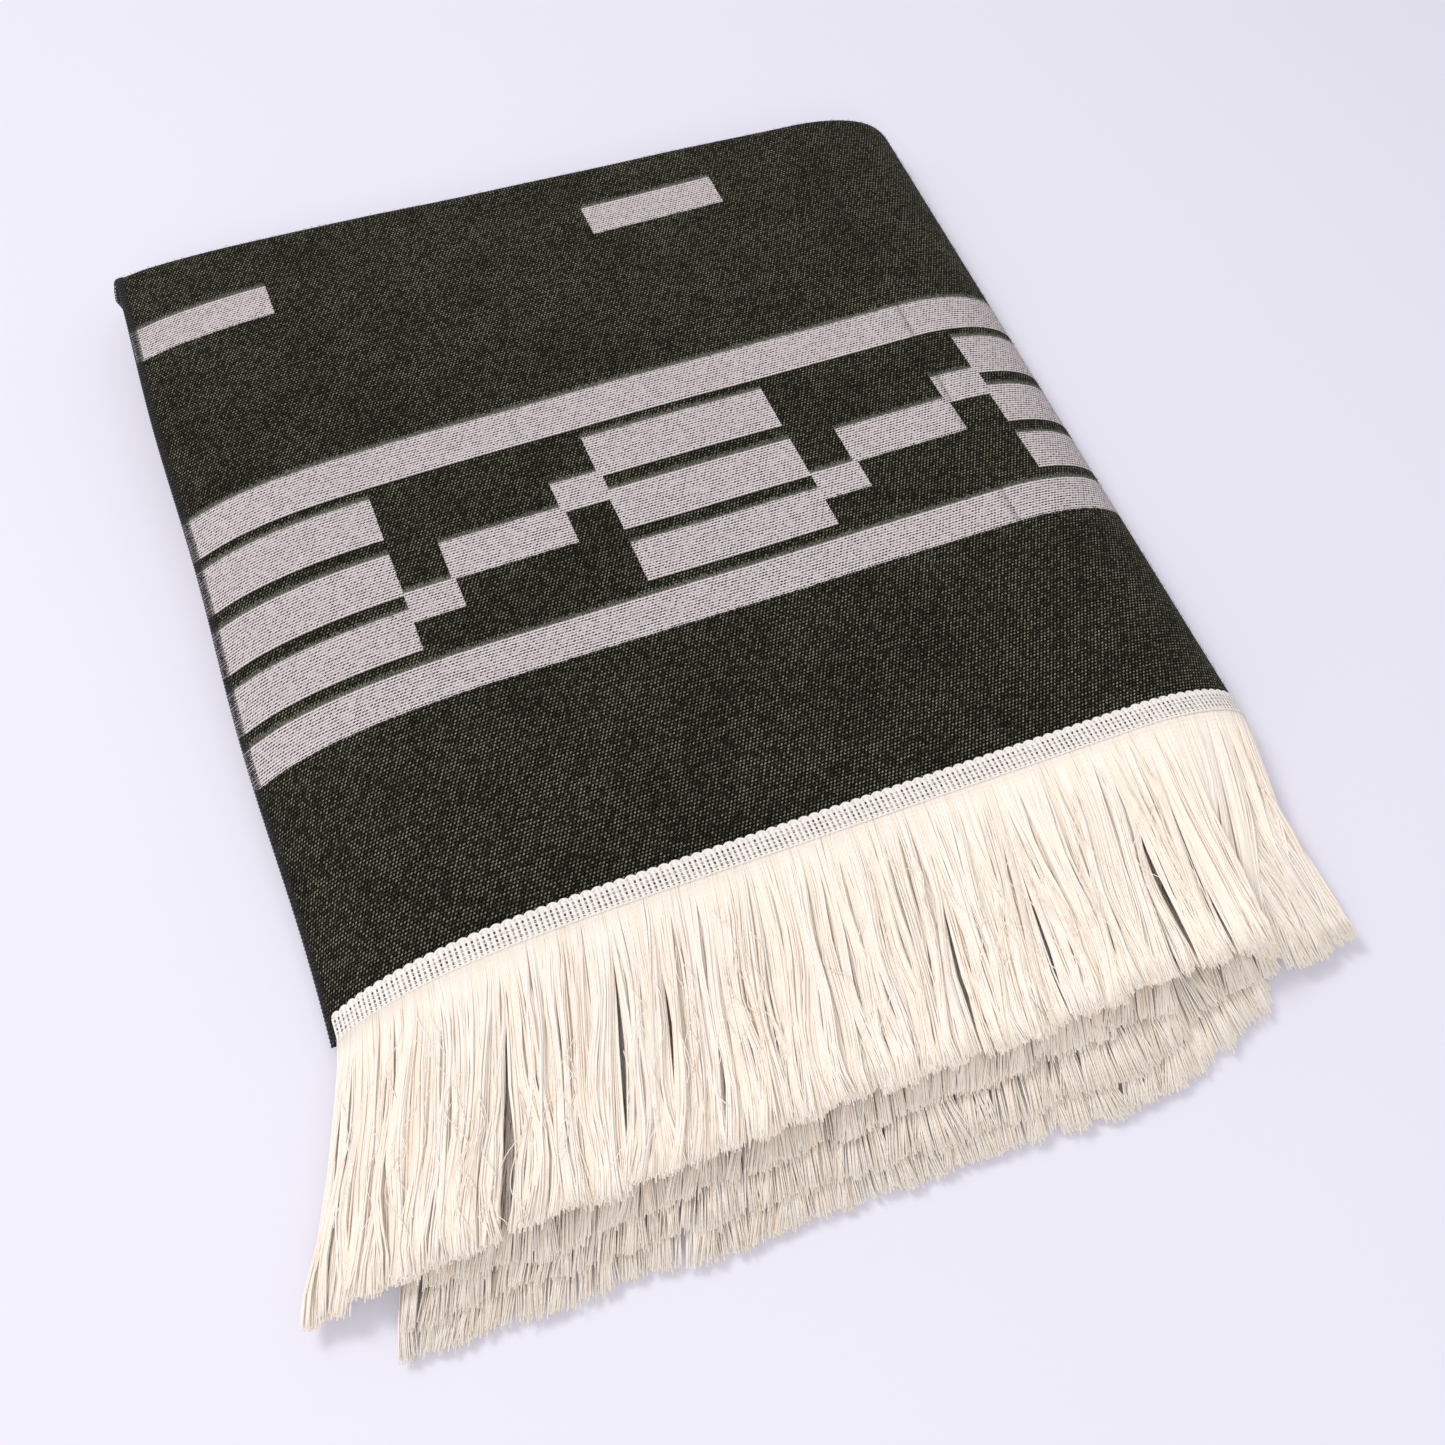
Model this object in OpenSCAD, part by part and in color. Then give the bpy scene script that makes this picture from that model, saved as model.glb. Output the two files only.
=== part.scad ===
// Folded throw blanket with a fringe trim at both ends.
// The throw is folded in half lengthwise and then in half widthwise, so four layers lie on each other.
// Frame: millimetres, +Z up, fringe towards -Y, the last fold towards +X, the open side hems towards -X.
// The origin lies on the surface that the throw rests on, under the middle of the stack.

/* [Folded stack] */
// Width of the stack along its far edge, from the top layer's hem to the side fold
stack_w = 720; // [560:10:820]
// Depth of the stack, from the front edge of the top layer to the middle of the far fold
stack_d = 726; // [600:6:876]
// Height of the stack: four layers with the air between them
stack_h = 60; // [54:2:72]
// How much narrower the stack is along the front than along the far edge
front_taper = 46; // [0:1:60]
// How much further back the far fold lies at its left end than at its right end
far_skew = 28; // [0:1:40]
// Clearance between two layers
layer_gap = 0.25; // [0.2:0.05:0.5]

/* [Open side with the hems] */
// How far the top layer's hem hangs below the top of the stack at the front
drape_drop = 52; // [40:1:53]
// How far it hangs there at the far edge, where the fold holds it up
far_drop = 10; // [0:1:40]
// Distance from the hem over which the top layer drapes
drape_reach = 300; // [260:10:330]
// How quickly the drape dies away: higher is quicker
drape_power = 5; // [4.5:0.1:6.5]
// Width of the zone in which the top layer thins out towards its hem
thin_zone = 150; // [120:5:180]
// Thickness of the cloth at a hem
hem_t = 6; // [4:0.5:7]
// Width of the overlocked edge
hem_w = 5; // [3:0.5:7]
// How far the second layer's hem is set in from the top layer's hem
second_inset = 78; // [74:1:90]
// How far the third layer's hem is set in
third_inset = 64; // [54:1:90]
// How far the base layer's hem is set in
base_inset = 56; // [24:1:90]

/* [Last fold, at the side] */
// Width of the rounding over the side fold
fold_w = 96; // [60:1:110]
// Height at which the side fold is widest
fold_waist = 14; // [10:1:18]
// Width of the rounding under the side fold
fold_under = 20; // [14:1:26]
// Thickness of the outer wrap of the side fold
wrap_t = 14; // [10:0.5:16]

/* [Fringe trim] */
// Height of the woven tape that carries the fringe
tape_h = 18; // [12:1:26]
// Thickness of the tape
tape_t = 1.5; // [1:0.1:2]
// Length of the fringe below the tape
skirt_len = 165; // [120:5:220]
// How far the fringe's tips lie further left than its roots at the left end; the fan dies out to the right
fringe_fan = 60; // [0:1:80]
// How far the tips of the lower three fringes lie in from the side fold
lower_gather = 60; // [0:1:100]
// Thickness of the hanging fringe of the top, third and base layer
skirt_t = 8; // [6:0.5:9]
// Thickness of the second layer's fringe, which the top one presses flat
second_skirt_t = 4; // [3:0.5:5]
// How far the second layer's front edge stands out past the top layer's
second_out = 14; // [0:1:30]
// How far the third layer's front edge stands out
third_out = 30; // [0:1:60]
// How far the base layer's front edge stands out
base_out = 50; // [0:1:90]

/* [Sewing] */
// Thickness of the sewing thread on the tape
thread_t = 0.5; // [0.4:0.1:0.8]
// Width of one sewn row
thread_w = 1; // [0.8:0.1:1.5]
// Distance of the two sewn rows from the upper and lower edge of the tape
row_inset = 3.5; // [2:0.5:5]

/* [Hidden] */

$fn = 64;
cloth_colour = "#24281f";
hem_colour = "#101210";
trim_colour = "#eee3cd";
pitch = stack_h / 4;
layer_t = pitch - layer_gap;
middle_z = stack_h / 2;
left_x = -stack_w / 2;
front_y = -stack_d / 2;
second_y = front_y - second_out;
third_y = front_y - third_out;
base_y = front_y - base_out;
recess = tape_t + thread_t;
// Length of the slope behind the tape's bed in the top layer
bed_slope = 0.5;
side_turn = atan(front_taper / stack_d);
far_turn = atan(far_skew / stack_w);
far_r = layer_t;
fold_rise = stack_h - fold_waist;
// Angle round the side fold at which the upper leaf ends
wrap_end = acos((middle_z + layer_gap - fold_waist) / fold_rise);
reach = 2 * (stack_w + stack_d);
profile_steps = 16;
wrap_steps = 24;
skirt_rings = 5;
// How much closer the drawn points of the drape lie near the hem
hem_bias = 1.6;
// Share of its height above the middle that the top fringe keeps at its tips
tip_keep = 0.45;

// How far the top layer's hem hangs down at depth y
function drop(y) = drape_drop + (far_drop - drape_drop) * (y - front_y) / stack_d;
// Height of the top surface at depth y and at distance s from the top layer's hem
function surface_z(s, y) = stack_h - drop(y) * pow(max(0, 1 - s / drape_reach), drape_power);
// Thickness of the top layer at distance s from its hem
function top_t(s) = hem_t + (layer_t - hem_t) * min(1, s / thin_zone);
function underside_z(s, y) = surface_z(s, y) - top_t(s);
// Place of the side fold's edge at depth y
function side_x(y) = stack_w / 2 - front_taper * (stack_d / 2 - y) / stack_d;
// Place of the far fold's edge at width x
function far_y(x) = stack_d / 2 - far_skew * x / stack_w;
// Distances from the hem at which a profile between a and b is drawn: close together near the hem, then level
function stations(a, b) =
    concat([for (i = [0:profile_steps]) a + (drape_reach - a) * pow(i / profile_steps, hem_bias)], [b]);
function lift(points, dz) = [for (p = points) [p[0], p[1] + dz]];
function reversed(points) = [for (i = [len(points) - 1:-1:0]) points[i]];
function surface_line(a, y) = [for (s = stations(a, stack_w)) [left_x + s, surface_z(s, y)]];
function underside_line(a, y) = [for (s = stations(a, stack_w)) [left_x + s, underside_z(s, y)]];

// Carries a section drawn in X and Z along Y, from y0 to y1
module along_y(y0, y1) {
    translate([0, y1, 0]) rotate([90, 0, 0]) linear_extrude(y1 - y0) children();
}

// Solid through several depths whose section changes evenly between them; section gives the clockwise
// [x, z] points at a depth
module loft_y(depths, section) {
    n = len(section(depths[0]));
    last = len(depths) - 1;
    points = [for (y = depths, p = section(y)) [p[0], y, p[1]]];
    sides = [for (k = [0:last - 1], i = [0:n - 1]) let (a = k * n + i, b = k * n + (i + 1) % n)
        each [[a, a + n, b + n], [a, b + n, b]]];
    ends = [[for (i = [0:n - 1]) i], [for (i = [n - 1:-1:0]) last * n + i]];
    polyhedron(points, concat(sides, ends), convexity = 6);
}

// Carries a section drawn from the side fold's edge, at 0, along that slanting edge
module along_side() {
    translate([side_x(0), 0, 0]) rotate([0, 0, -side_turn]) along_y(-reach, reach) children();
}

// Upright prism between x0, the line that starts the side fold and the front y0
module open_field(x0, y0) {
    edge = fold_w / cos(side_turn);
    linear_extrude(stack_h)
        polygon([[x0, y0], [side_x(y0) - edge, y0], [side_x(reach) - edge, reach], [x0, reach]]);
}

// The same prism, ended where the far fold starts
module field(x0, y0) {
    intersection() {
        open_field(x0, y0);
        fold_field(y0);
    }
}

// Upright prism between the front y0 and the start of the far fold
module fold_field(y0) {
    back = far_r / cos(far_turn);
    linear_extrude(stack_h) polygon([[-stack_w, y0], [stack_w, y0],
        [stack_w, far_y(stack_w) - back], [-stack_w, far_y(-stack_w) - back]]);
}

// Strip of the stack's front, from depth y0 over the height of the tape
module tape_strip(y0) {
    translate([-stack_w, y0, 0]) cube([2 * stack_w, tape_h, stack_h]);
}

// Section of the side fold, made smaller by d all round; its top and its underside are quarter ellipses
module fold_section(d) {
    rise = stack_h - fold_waist - d;
    drop = fold_waist - min(d, fold_waist - 1);
    upper = [for (i = [0:wrap_steps]) let (a = 90 * i / wrap_steps)
        [-fold_w + (fold_w - d) * sin(a), fold_waist + rise * cos(a)]];
    lower = [for (i = [1:wrap_steps]) let (a = 90 * i / wrap_steps)
        [-fold_under + (fold_under - d) * cos(a), fold_waist - drop * sin(a)]];
    polygon(concat(upper, lower, [[-fold_w, fold_waist - drop]]));
}

module upper_half() {
    translate([-reach, middle_z + layer_gap]) square([2 * reach, middle_z]);
}

module lower_half() {
    translate([-reach, -layer_gap]) square([2 * reach, middle_z]);
}

// Ring between the fold section made smaller by d0 and by d1
module fold_ring(d0, d1) {
    difference() {
        fold_section(d0);
        fold_section(d1);
    }
}

// The top layer from its hem to the side fold; along its front it has a bed for the tape, which is level in depth
module top_slab() {
    bed_y = front_y + tape_h;
    loft_y([front_y - 1, bed_y, bed_y + bed_slope, stack_d], function (y) concat(
        y > bed_y ? surface_line(0, y) : lift(surface_line(0, front_y), -recess),
        reversed(underside_line(0, y))));
}

// Band of the top surface at its front, between two distances below it
module front_band(d0, d1) {
    line = surface_line(0, front_y);
    polygon(concat(lift(line, -d0), reversed(lift(line, -d1))));
}

// The whole stack under the top surface, from the middle of its depth backwards
module under_surface() {
    loft_y([0, stack_d], function (y)
        concat(surface_line(0, y), reversed(lift(surface_line(0, y), -stack_h))));
}

// The second layer, which fills the space under the top one
module second_slab() {
    floor_z = middle_z + layer_gap;
    loft_y([second_y - 1, stack_d], function (y) concat(lift(underside_line(second_inset, y), -layer_gap),
        [[left_x + stack_w, floor_z], [left_x + second_inset, floor_z]]));
}

module box_section(x0, z0, z1) {
    translate([x0, z0]) square([stack_w, z1 - z0]);
}

module top_panel() {
    color(cloth_colour) intersection() {
        top_slab();
        field(left_x, front_y);
    }
}

module second_panel() {
    color(cloth_colour) difference() {
        intersection() {
            second_slab();
            field(left_x + second_inset, second_y);
        }
        along_y(second_y - 1, second_y + tape_h) box_section(left_x, middle_z, middle_z + layer_gap + recess);
    }
}

module third_panel() {
    color(cloth_colour) difference() {
        intersection() {
            along_y(third_y, reach) box_section(left_x, pitch, middle_z - layer_gap);
            field(left_x + third_inset, third_y);
        }
        along_y(third_y - 1, third_y + tape_h) box_section(left_x, middle_z - layer_gap - recess, middle_z);
    }
}

module base_panel() {
    color(cloth_colour) difference() {
        intersection() {
            along_y(base_y, reach) box_section(left_x, 0, layer_t);
            field(left_x + base_inset, base_y);
        }
        along_y(base_y - 1, base_y + tape_h) box_section(left_x, -1, recess);
    }
}

// Rounded lip along the far fold, in the leaf whose lower face is at z0
module far_lip(z0) {
    translate([0, far_y(0), z0 + far_r]) rotate([0, 0, -far_turn]) intersection() {
        translate([-reach / 2, -far_r, 0]) rotate([0, 90, 0]) cylinder(r = far_r, h = reach);
        translate([-reach / 2, -far_r, -far_r]) cube([reach, far_r, 2 * far_r]);
    }
}

module far_fold_upper() {
    color(cloth_colour) intersection() {
        far_lip(middle_z + layer_gap);
        under_surface();
        along_y(0, reach) upper_half();
        open_field(left_x + second_inset, 0);
    }
}

module far_fold_lower() {
    color(cloth_colour) intersection() {
        far_lip(0);
        open_field(left_x + base_inset, 0);
    }
}

module far_corner_upper() {
    color(cloth_colour) intersection() {
        far_lip(middle_z + layer_gap);
        along_side() intersection() {
            fold_section(0);
            upper_half();
        }
    }
}

module far_corner_lower() {
    color(cloth_colour) intersection() {
        far_lip(0);
        along_side() intersection() {
            fold_section(0);
            lower_half();
        }
    }
}

module side_wrap_upper() {
    color(cloth_colour) difference() {
        intersection() {
            along_side() intersection() {
                fold_ring(0, wrap_t);
                upper_half();
            }
            fold_field(front_y);
        }
        intersection() {
            along_side() fold_ring(-1, recess);
            tape_strip(front_y);
        }
    }
}

module side_wrap_lower() {
    color(cloth_colour) difference() {
        intersection() {
            along_side() intersection() {
                fold_ring(0, wrap_t);
                lower_half();
            }
            fold_field(base_y);
        }
        intersection() {
            along_side() fold_ring(-1, recess);
            tape_strip(base_y);
        }
    }
}

module inner_fold_upper() {
    color(cloth_colour) intersection() {
        along_side() intersection() {
            fold_section(wrap_t + layer_gap);
            upper_half();
        }
        fold_field(second_y);
    }
}

module inner_fold_lower() {
    color(cloth_colour) intersection() {
        along_side() intersection() {
            fold_section(wrap_t + layer_gap);
            lower_half();
        }
        fold_field(third_y);
    }
}

// Overlocked edge of one layer: a bar along the hem, from the front y0 at height z0 to the far fold at height z1
module hem_bar(x, y0, z0, z1) {
    y1 = far_y(x) - far_r;
    color(hem_colour) loft_y([y0, y1], function (y) let (z = z0 + (z1 - z0) * (y - y0) / (y1 - y0))
        [[x - hem_w, z + hem_t], [x, z + hem_t], [x, z], [x - hem_w, z]]);
}

module level_hem(x, y0, z) hem_bar(x, y0, z, z);
module hem_top() hem_bar(left_x, front_y, underside_z(0, front_y), underside_z(0, far_y(left_x) - far_r));
module hem_second() level_hem(left_x + second_inset, second_y, middle_z + layer_gap);
module hem_third() level_hem(left_x + third_inset, third_y, pitch + layer_gap);
module hem_base() level_hem(left_x + base_inset, base_y, layer_gap);

module tape_top() {
    color(trim_colour) intersection() {
        along_y(front_y, front_y + tape_h) front_band(thread_t, recess);
        field(left_x, front_y);
    }
}

module tape_wrap_upper() {
    color(trim_colour) intersection() {
        along_side() intersection() {
            fold_ring(thread_t, recess);
            upper_half();
        }
        tape_strip(front_y);
    }
}

module tape_wrap_lower() {
    color(trim_colour) intersection() {
        along_side() intersection() {
            fold_ring(thread_t, recess);
            lower_half();
        }
        tape_strip(base_y);
    }
}

module flat_tape(x0, y0, z0, z1) {
    color(trim_colour) intersection() {
        along_y(y0, y0 + tape_h) box_section(left_x, z0, z1);
        field(x0, y0);
    }
}

module tape_second() {
    z0 = middle_z + layer_gap;
    flat_tape(left_x + second_inset, second_y, z0 + thread_t, z0 + recess);
}

module tape_base() {
    flat_tape(left_x + base_inset, base_y, thread_t, recess);
}

module tape_third() {
    z1 = middle_z - layer_gap;
    flat_tape(left_x + third_inset, third_y, z1 - recess, z1 - thread_t);
}

// The two sewn rows along a tape whose layer starts at x0 and y0, between the heights z0 and z1
module sewn_rows(x0, y0, z0, z1) {
    for (inset = [row_inset, tape_h - row_inset - thread_w])
        color(trim_colour) intersection() {
            translate([0, y0 + inset, 0]) along_y(0, thread_w) box_section(left_x, z0, z1);
            field(x0, y0);
        }
}

module sewing_top() {
    for (inset = [row_inset, tape_h - row_inset - thread_w])
        color(trim_colour) intersection() {
            translate([0, front_y + inset, 0]) along_y(0, thread_w) front_band(0, thread_t);
            field(left_x, front_y);
        }
}

module sewing_second() {
    z0 = middle_z + layer_gap;
    sewn_rows(left_x + second_inset, second_y, z0, z0 + thread_t);
}

module sewing_third() {
    z1 = middle_z - layer_gap;
    sewn_rows(left_x + third_inset, third_y, z1 - thread_t, z1);
}

module sewing_base() {
    sewn_rows(left_x + base_inset, base_y, 0, thread_t);
}

// How far the fringe's tips lie to the left of a root at width x
function fan(x) = fringe_fan * (stack_w / 2 - x) / stack_w;

// Solid between an upper and a lower grid of points, each a list of rings with the same number of points
module fringe_solid(upper, lower) {
    rings = len(upper);
    n = len(upper[0]);
    points = concat([for (r = upper) each r], [for (r = lower) each r]);
    low = rings * n;
    faces = concat(
        [for (i = [0:rings - 2], j = [0:n - 2], a = i * n + j) [a, a + n, a + n + 1, a + 1]],
        [for (i = [0:rings - 2], j = [0:n - 2], a = low + i * n + j) [a, a + 1, a + n + 1, a + n]],
        [for (i = [0:rings - 2], a = i * n) [a, low + a, low + a + n, a + n]],
        [for (i = [0:rings - 2], a = (i + 1) * n - 1) [a, a + n, low + a + n, low + a]],
        [for (j = [0:n - 2]) [j, j + 1, low + j + 1, low + j]],
        [for (j = [0:n - 2], e = (rings - 1) * n) [e + j, low + e + j, low + e + j + 1, e + j + 1]]);
    color(trim_colour) polyhedron(points, faces, convexity = 4);
}

// Line over the top surface and round the side fold at depth y, as far as the middle, d below the face
function top_line(y, d) = concat(
    [for (s = stations(0, side_x(y) - fold_w - left_x)) [left_x + s, surface_z(s, y) - d]],
    [for (i = [1:profile_steps]) let (share = i / profile_steps, a = wrap_end * share)
        [side_x(y) - fold_w + (fold_w - d) * sin(a), fold_waist + fold_rise * cos(a) - d * (1 - share)]]);

// The same line for the tips: what stands above the middle sinks towards it, and the drape keeps its height
function sunk(z) = z > middle_z ? middle_z + (z - middle_z) * tip_keep : z;

function fringe_rings(y0, d) = [for (i = [0:skirt_rings]) let (share = i / skirt_rings)
    [for (p = top_line(y0, d))
        [p[0] - share * fan(p[0]), y0 - share * skirt_len, p[1] + (sunk(p[1]) - p[1]) * share]]];

// Underside of the top fringe, under a point p that belongs to the root at width x: it rests on the second fringe
function rest_z(x, p) =
    let (rest_from = left_x + second_inset - second_out, rest_to = side_x(front_y) - fold_w)
    x < rest_from ? p[2] - hem_t
        : max(p[2] - skirt_t, middle_z + layer_gap + (x <= rest_to ? second_skirt_t + layer_gap : 0));

module fringe_top() {
    upper = fringe_rings(front_y, thread_t);
    lower = [for (ring = upper) [for (j = [0:len(ring) - 1]) let (p = ring[j])
        [p[0], p[1], rest_z(upper[0][j][0], p)]]];
    fringe_solid(upper, lower);
}

// Level fringe with its roots from x0 to x1 at the front y0, between the heights z0 and z1
module flat_fringe(x0, x1, y0, z0, z1) {
    tip_y = y0 - skirt_len;
    color(trim_colour) translate([0, 0, z0]) linear_extrude(z1 - z0)
        polygon([[x0, y0], [x0 - fan(x0), tip_y], [x1 - lower_gather, tip_y], [x1, y0]]);
}

module fringe_second() {
    z0 = middle_z + layer_gap;
    flat_fringe(left_x + second_inset, side_x(second_y) - fold_w, second_y, z0, z0 + second_skirt_t);
}

module fringe_third() {
    z1 = middle_z - layer_gap;
    flat_fringe(left_x + third_inset, side_x(third_y) - fold_w, third_y, z1 - skirt_t, z1);
}

module fringe_base() {
    flat_fringe(left_x + base_inset, side_x(base_y) - fold_under, base_y, 0, skirt_t);
}

top_panel();
second_panel();
third_panel();
base_panel();
far_fold_upper();
far_fold_lower();
far_corner_upper();
far_corner_lower();
side_wrap_upper();
side_wrap_lower();
inner_fold_upper();
inner_fold_lower();
hem_top();
hem_second();
hem_third();
hem_base();
tape_top();
tape_second();
tape_third();
tape_base();
tape_wrap_upper();
tape_wrap_lower();
sewing_top();
sewing_second();
sewing_third();
sewing_base();
fringe_top();
fringe_second();
fringe_third();
fringe_base();
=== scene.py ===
"""Looks of a folded throw blanket: woven cloth, fringe trims, overlocked hems and sewing.

The cloth is one sheet folded in half lengthwise and then in half widthwise. Its outer half wraps the
inner half: going round the stack it forms the top layer, the side fold and the base layer, and the far fold
joins it to the inner half, which forms the second layer, the inner fold and the third layer. Lengths are in
metres.
"""
import logging
import math
from dataclasses import dataclass, field, replace
from enum import Enum
from typing import Sequence, Union

import bpy
import numpy as np
from mathutils import Matrix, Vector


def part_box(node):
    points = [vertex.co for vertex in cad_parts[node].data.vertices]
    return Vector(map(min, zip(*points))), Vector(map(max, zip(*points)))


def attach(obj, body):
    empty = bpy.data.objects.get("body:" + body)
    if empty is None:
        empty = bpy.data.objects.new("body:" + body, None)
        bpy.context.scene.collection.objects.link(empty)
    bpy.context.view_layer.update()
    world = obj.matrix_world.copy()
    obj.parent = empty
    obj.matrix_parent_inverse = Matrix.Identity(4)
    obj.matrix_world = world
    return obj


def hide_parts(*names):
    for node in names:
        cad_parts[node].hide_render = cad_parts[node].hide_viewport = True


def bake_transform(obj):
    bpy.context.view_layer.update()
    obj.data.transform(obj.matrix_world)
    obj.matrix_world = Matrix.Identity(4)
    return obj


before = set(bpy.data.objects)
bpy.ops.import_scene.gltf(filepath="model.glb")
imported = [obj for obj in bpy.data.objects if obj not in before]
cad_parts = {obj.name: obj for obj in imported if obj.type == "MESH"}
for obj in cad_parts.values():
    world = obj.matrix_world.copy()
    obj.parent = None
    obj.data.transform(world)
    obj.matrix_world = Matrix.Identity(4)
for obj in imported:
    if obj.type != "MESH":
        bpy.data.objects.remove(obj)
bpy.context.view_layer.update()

Array = np.ndarray
log = logging.getLogger("throw")
logging.basicConfig(level=logging.INFO, format="%(name)s: %(message)s")

MM = 0.001
BACKWARDS = np.array([0.0, 1.0, 0.0])


class Leaf(Enum):
    """The two bodies of the throw, on either side of the side fold."""

    UPPER = "upper_leaf"
    LOWER = "lower_leaf"


# --------------------------------------------------------------------------------------------------
# Small shaping functions
# --------------------------------------------------------------------------------------------------

def smooth(low: float, high: float, value: Array) -> Array:
    """Smooth step: 0 below low, 1 above high, and a cubic with level ends between them.

    Args:
        low: value at which the step starts.
        high: value at which the step ends.
        value: values to step.

    Returns:
        The stepped values, from 0 to 1.
    """
    share = np.clip((np.asarray(value, float) - low) / (high - low), 0, 1)
    return share * share * (3 - 2 * share)


def unit(vectors: Array) -> Array:
    """The vectors, each divided by its own length."""
    return vectors / np.maximum(np.linalg.norm(vectors, axis=-1, keepdims=True), 1e-12)


def stack_xyz(x: Array, y: Array, z: Array) -> Array:
    """Points from their three coordinates, which are broadcast against each other."""
    return np.stack(np.broadcast_arrays(x, y, z), axis=-1).astype(float)


def sheet_normals(points: Array) -> Array:
    """Unit normals of a grid of points: the cross product of its two directions.

    Args:
        points: grid of points, (columns, rows, 3).

    Returns:
        One unit vector for every point.
    """
    return unit(np.cross(np.gradient(points, axis=0), np.gradient(points, axis=1)))


# --------------------------------------------------------------------------------------------------
# Meshes
# --------------------------------------------------------------------------------------------------

@dataclass
class Patch:
    """A closed surface: points, faces with a given number of corners, and a UV pair for each corner."""

    points: Array
    faces: list[Array]
    uv: Array
    rounded: Array

    @staticmethod
    def joined(patches: Sequence["Patch"]) -> "Patch":
        """Several patches as one.

        Args:
            patches: the patches, which keep their own points.

        Returns:
            One patch that holds all of them.
        """
        counts = np.cumsum([0] + [len(p.points) for p in patches])
        faces = [f + start for p, start in zip(patches, counts) for f in p.faces]
        return Patch(
            np.concatenate([p.points for p in patches]),
            faces,
            np.concatenate([p.uv for p in patches]),
            np.concatenate([p.rounded for p in patches]),
        )

    def make(self, name: str, material: bpy.types.Material) -> bpy.types.Object:
        """Puts the patch into a new mesh object at the origin.

        Args:
            name: name of the piece.
            material: its finish.

        Returns:
            The new object, linked into the scene.
        """
        corners = np.concatenate([f.ravel() for f in self.faces]).astype(np.int32)
        sizes = np.concatenate([np.full(len(f), f.shape[1]) for f in self.faces])
        starts = np.concatenate(([0], np.cumsum(sizes)[:-1])).astype(np.int32)
        mesh = bpy.data.meshes.new(name)
        mesh.vertices.add(len(self.points))
        mesh.vertices.foreach_set("co", self.points.astype(np.float32).ravel())
        mesh.loops.add(len(corners))
        mesh.loops.foreach_set("vertex_index", corners)
        mesh.polygons.add(len(sizes))
        mesh.polygons.foreach_set("loop_start", starts)
        mesh.polygons.foreach_set("use_smooth", self.rounded.astype(bool))
        mesh.update(calc_edges=True)
        layer = mesh.uv_layers.new(name="UVMap")
        layer.data.foreach_set("uv", self.uv.astype(np.float32).ravel())
        mesh.validate()
        mesh.materials.append(material)
        piece = bpy.data.objects.new(name, mesh)
        bpy.context.scene.collection.objects.link(piece)
        log.info("%s: %d faces", name, len(sizes))
        return piece


def closed_sheet(top: Array, bottom: Array, uv: Array, flip: bool = False) -> Patch:
    """Closes the space between two grids of points with a face grid on each and four rims.

    Args:
        top: points of the face whose normal is the cross product of the grid's directions.
        bottom: points of the opposite face.
        uv: UV pair for every point of the grid.
        flip: True where the grid runs the other way round, so that every face is turned over.

    Returns:
        The closed patch; its rims are flat shaded.
    """
    columns, rows = top.shape[:2]
    index = np.arange(columns * rows).reshape(columns, rows)
    low = index + columns * rows

    def quads(a: Array, b: Array, c: Array, d: Array) -> Array:
        """Quadrilaterals from four equal arrays of point numbers."""
        return np.stack([a.ravel(), b.ravel(), c.ravel(), d.ravel()], axis=1)

    faces = np.concatenate([
        quads(index[:-1, :-1], index[1:, :-1], index[1:, 1:], index[:-1, 1:]),
        quads(low[:-1, :-1], low[:-1, 1:], low[1:, 1:], low[1:, :-1]),
        quads(index[1:, 0], index[:-1, 0], low[:-1, 0], low[1:, 0]),
        quads(index[:-1, -1], index[1:, -1], low[1:, -1], low[:-1, -1]),
        quads(index[0, :-1], index[0, 1:], low[0, 1:], low[0, :-1]),
        quads(index[-1, 1:], index[-1, :-1], low[-1, :-1], low[-1, 1:]),
    ])
    if flip:
        faces = faces[:, ::-1]
    rounded = np.ones(len(faces), bool)
    rounded[2 * (columns - 1) * (rows - 1):] = False
    pairs = np.concatenate([uv.reshape(-1, 2), uv.reshape(-1, 2)])
    points = np.concatenate([top.reshape(-1, 3), bottom.reshape(-1, 3)])
    return Patch(points, [faces], pairs[faces].reshape(-1, 2), rounded)


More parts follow.
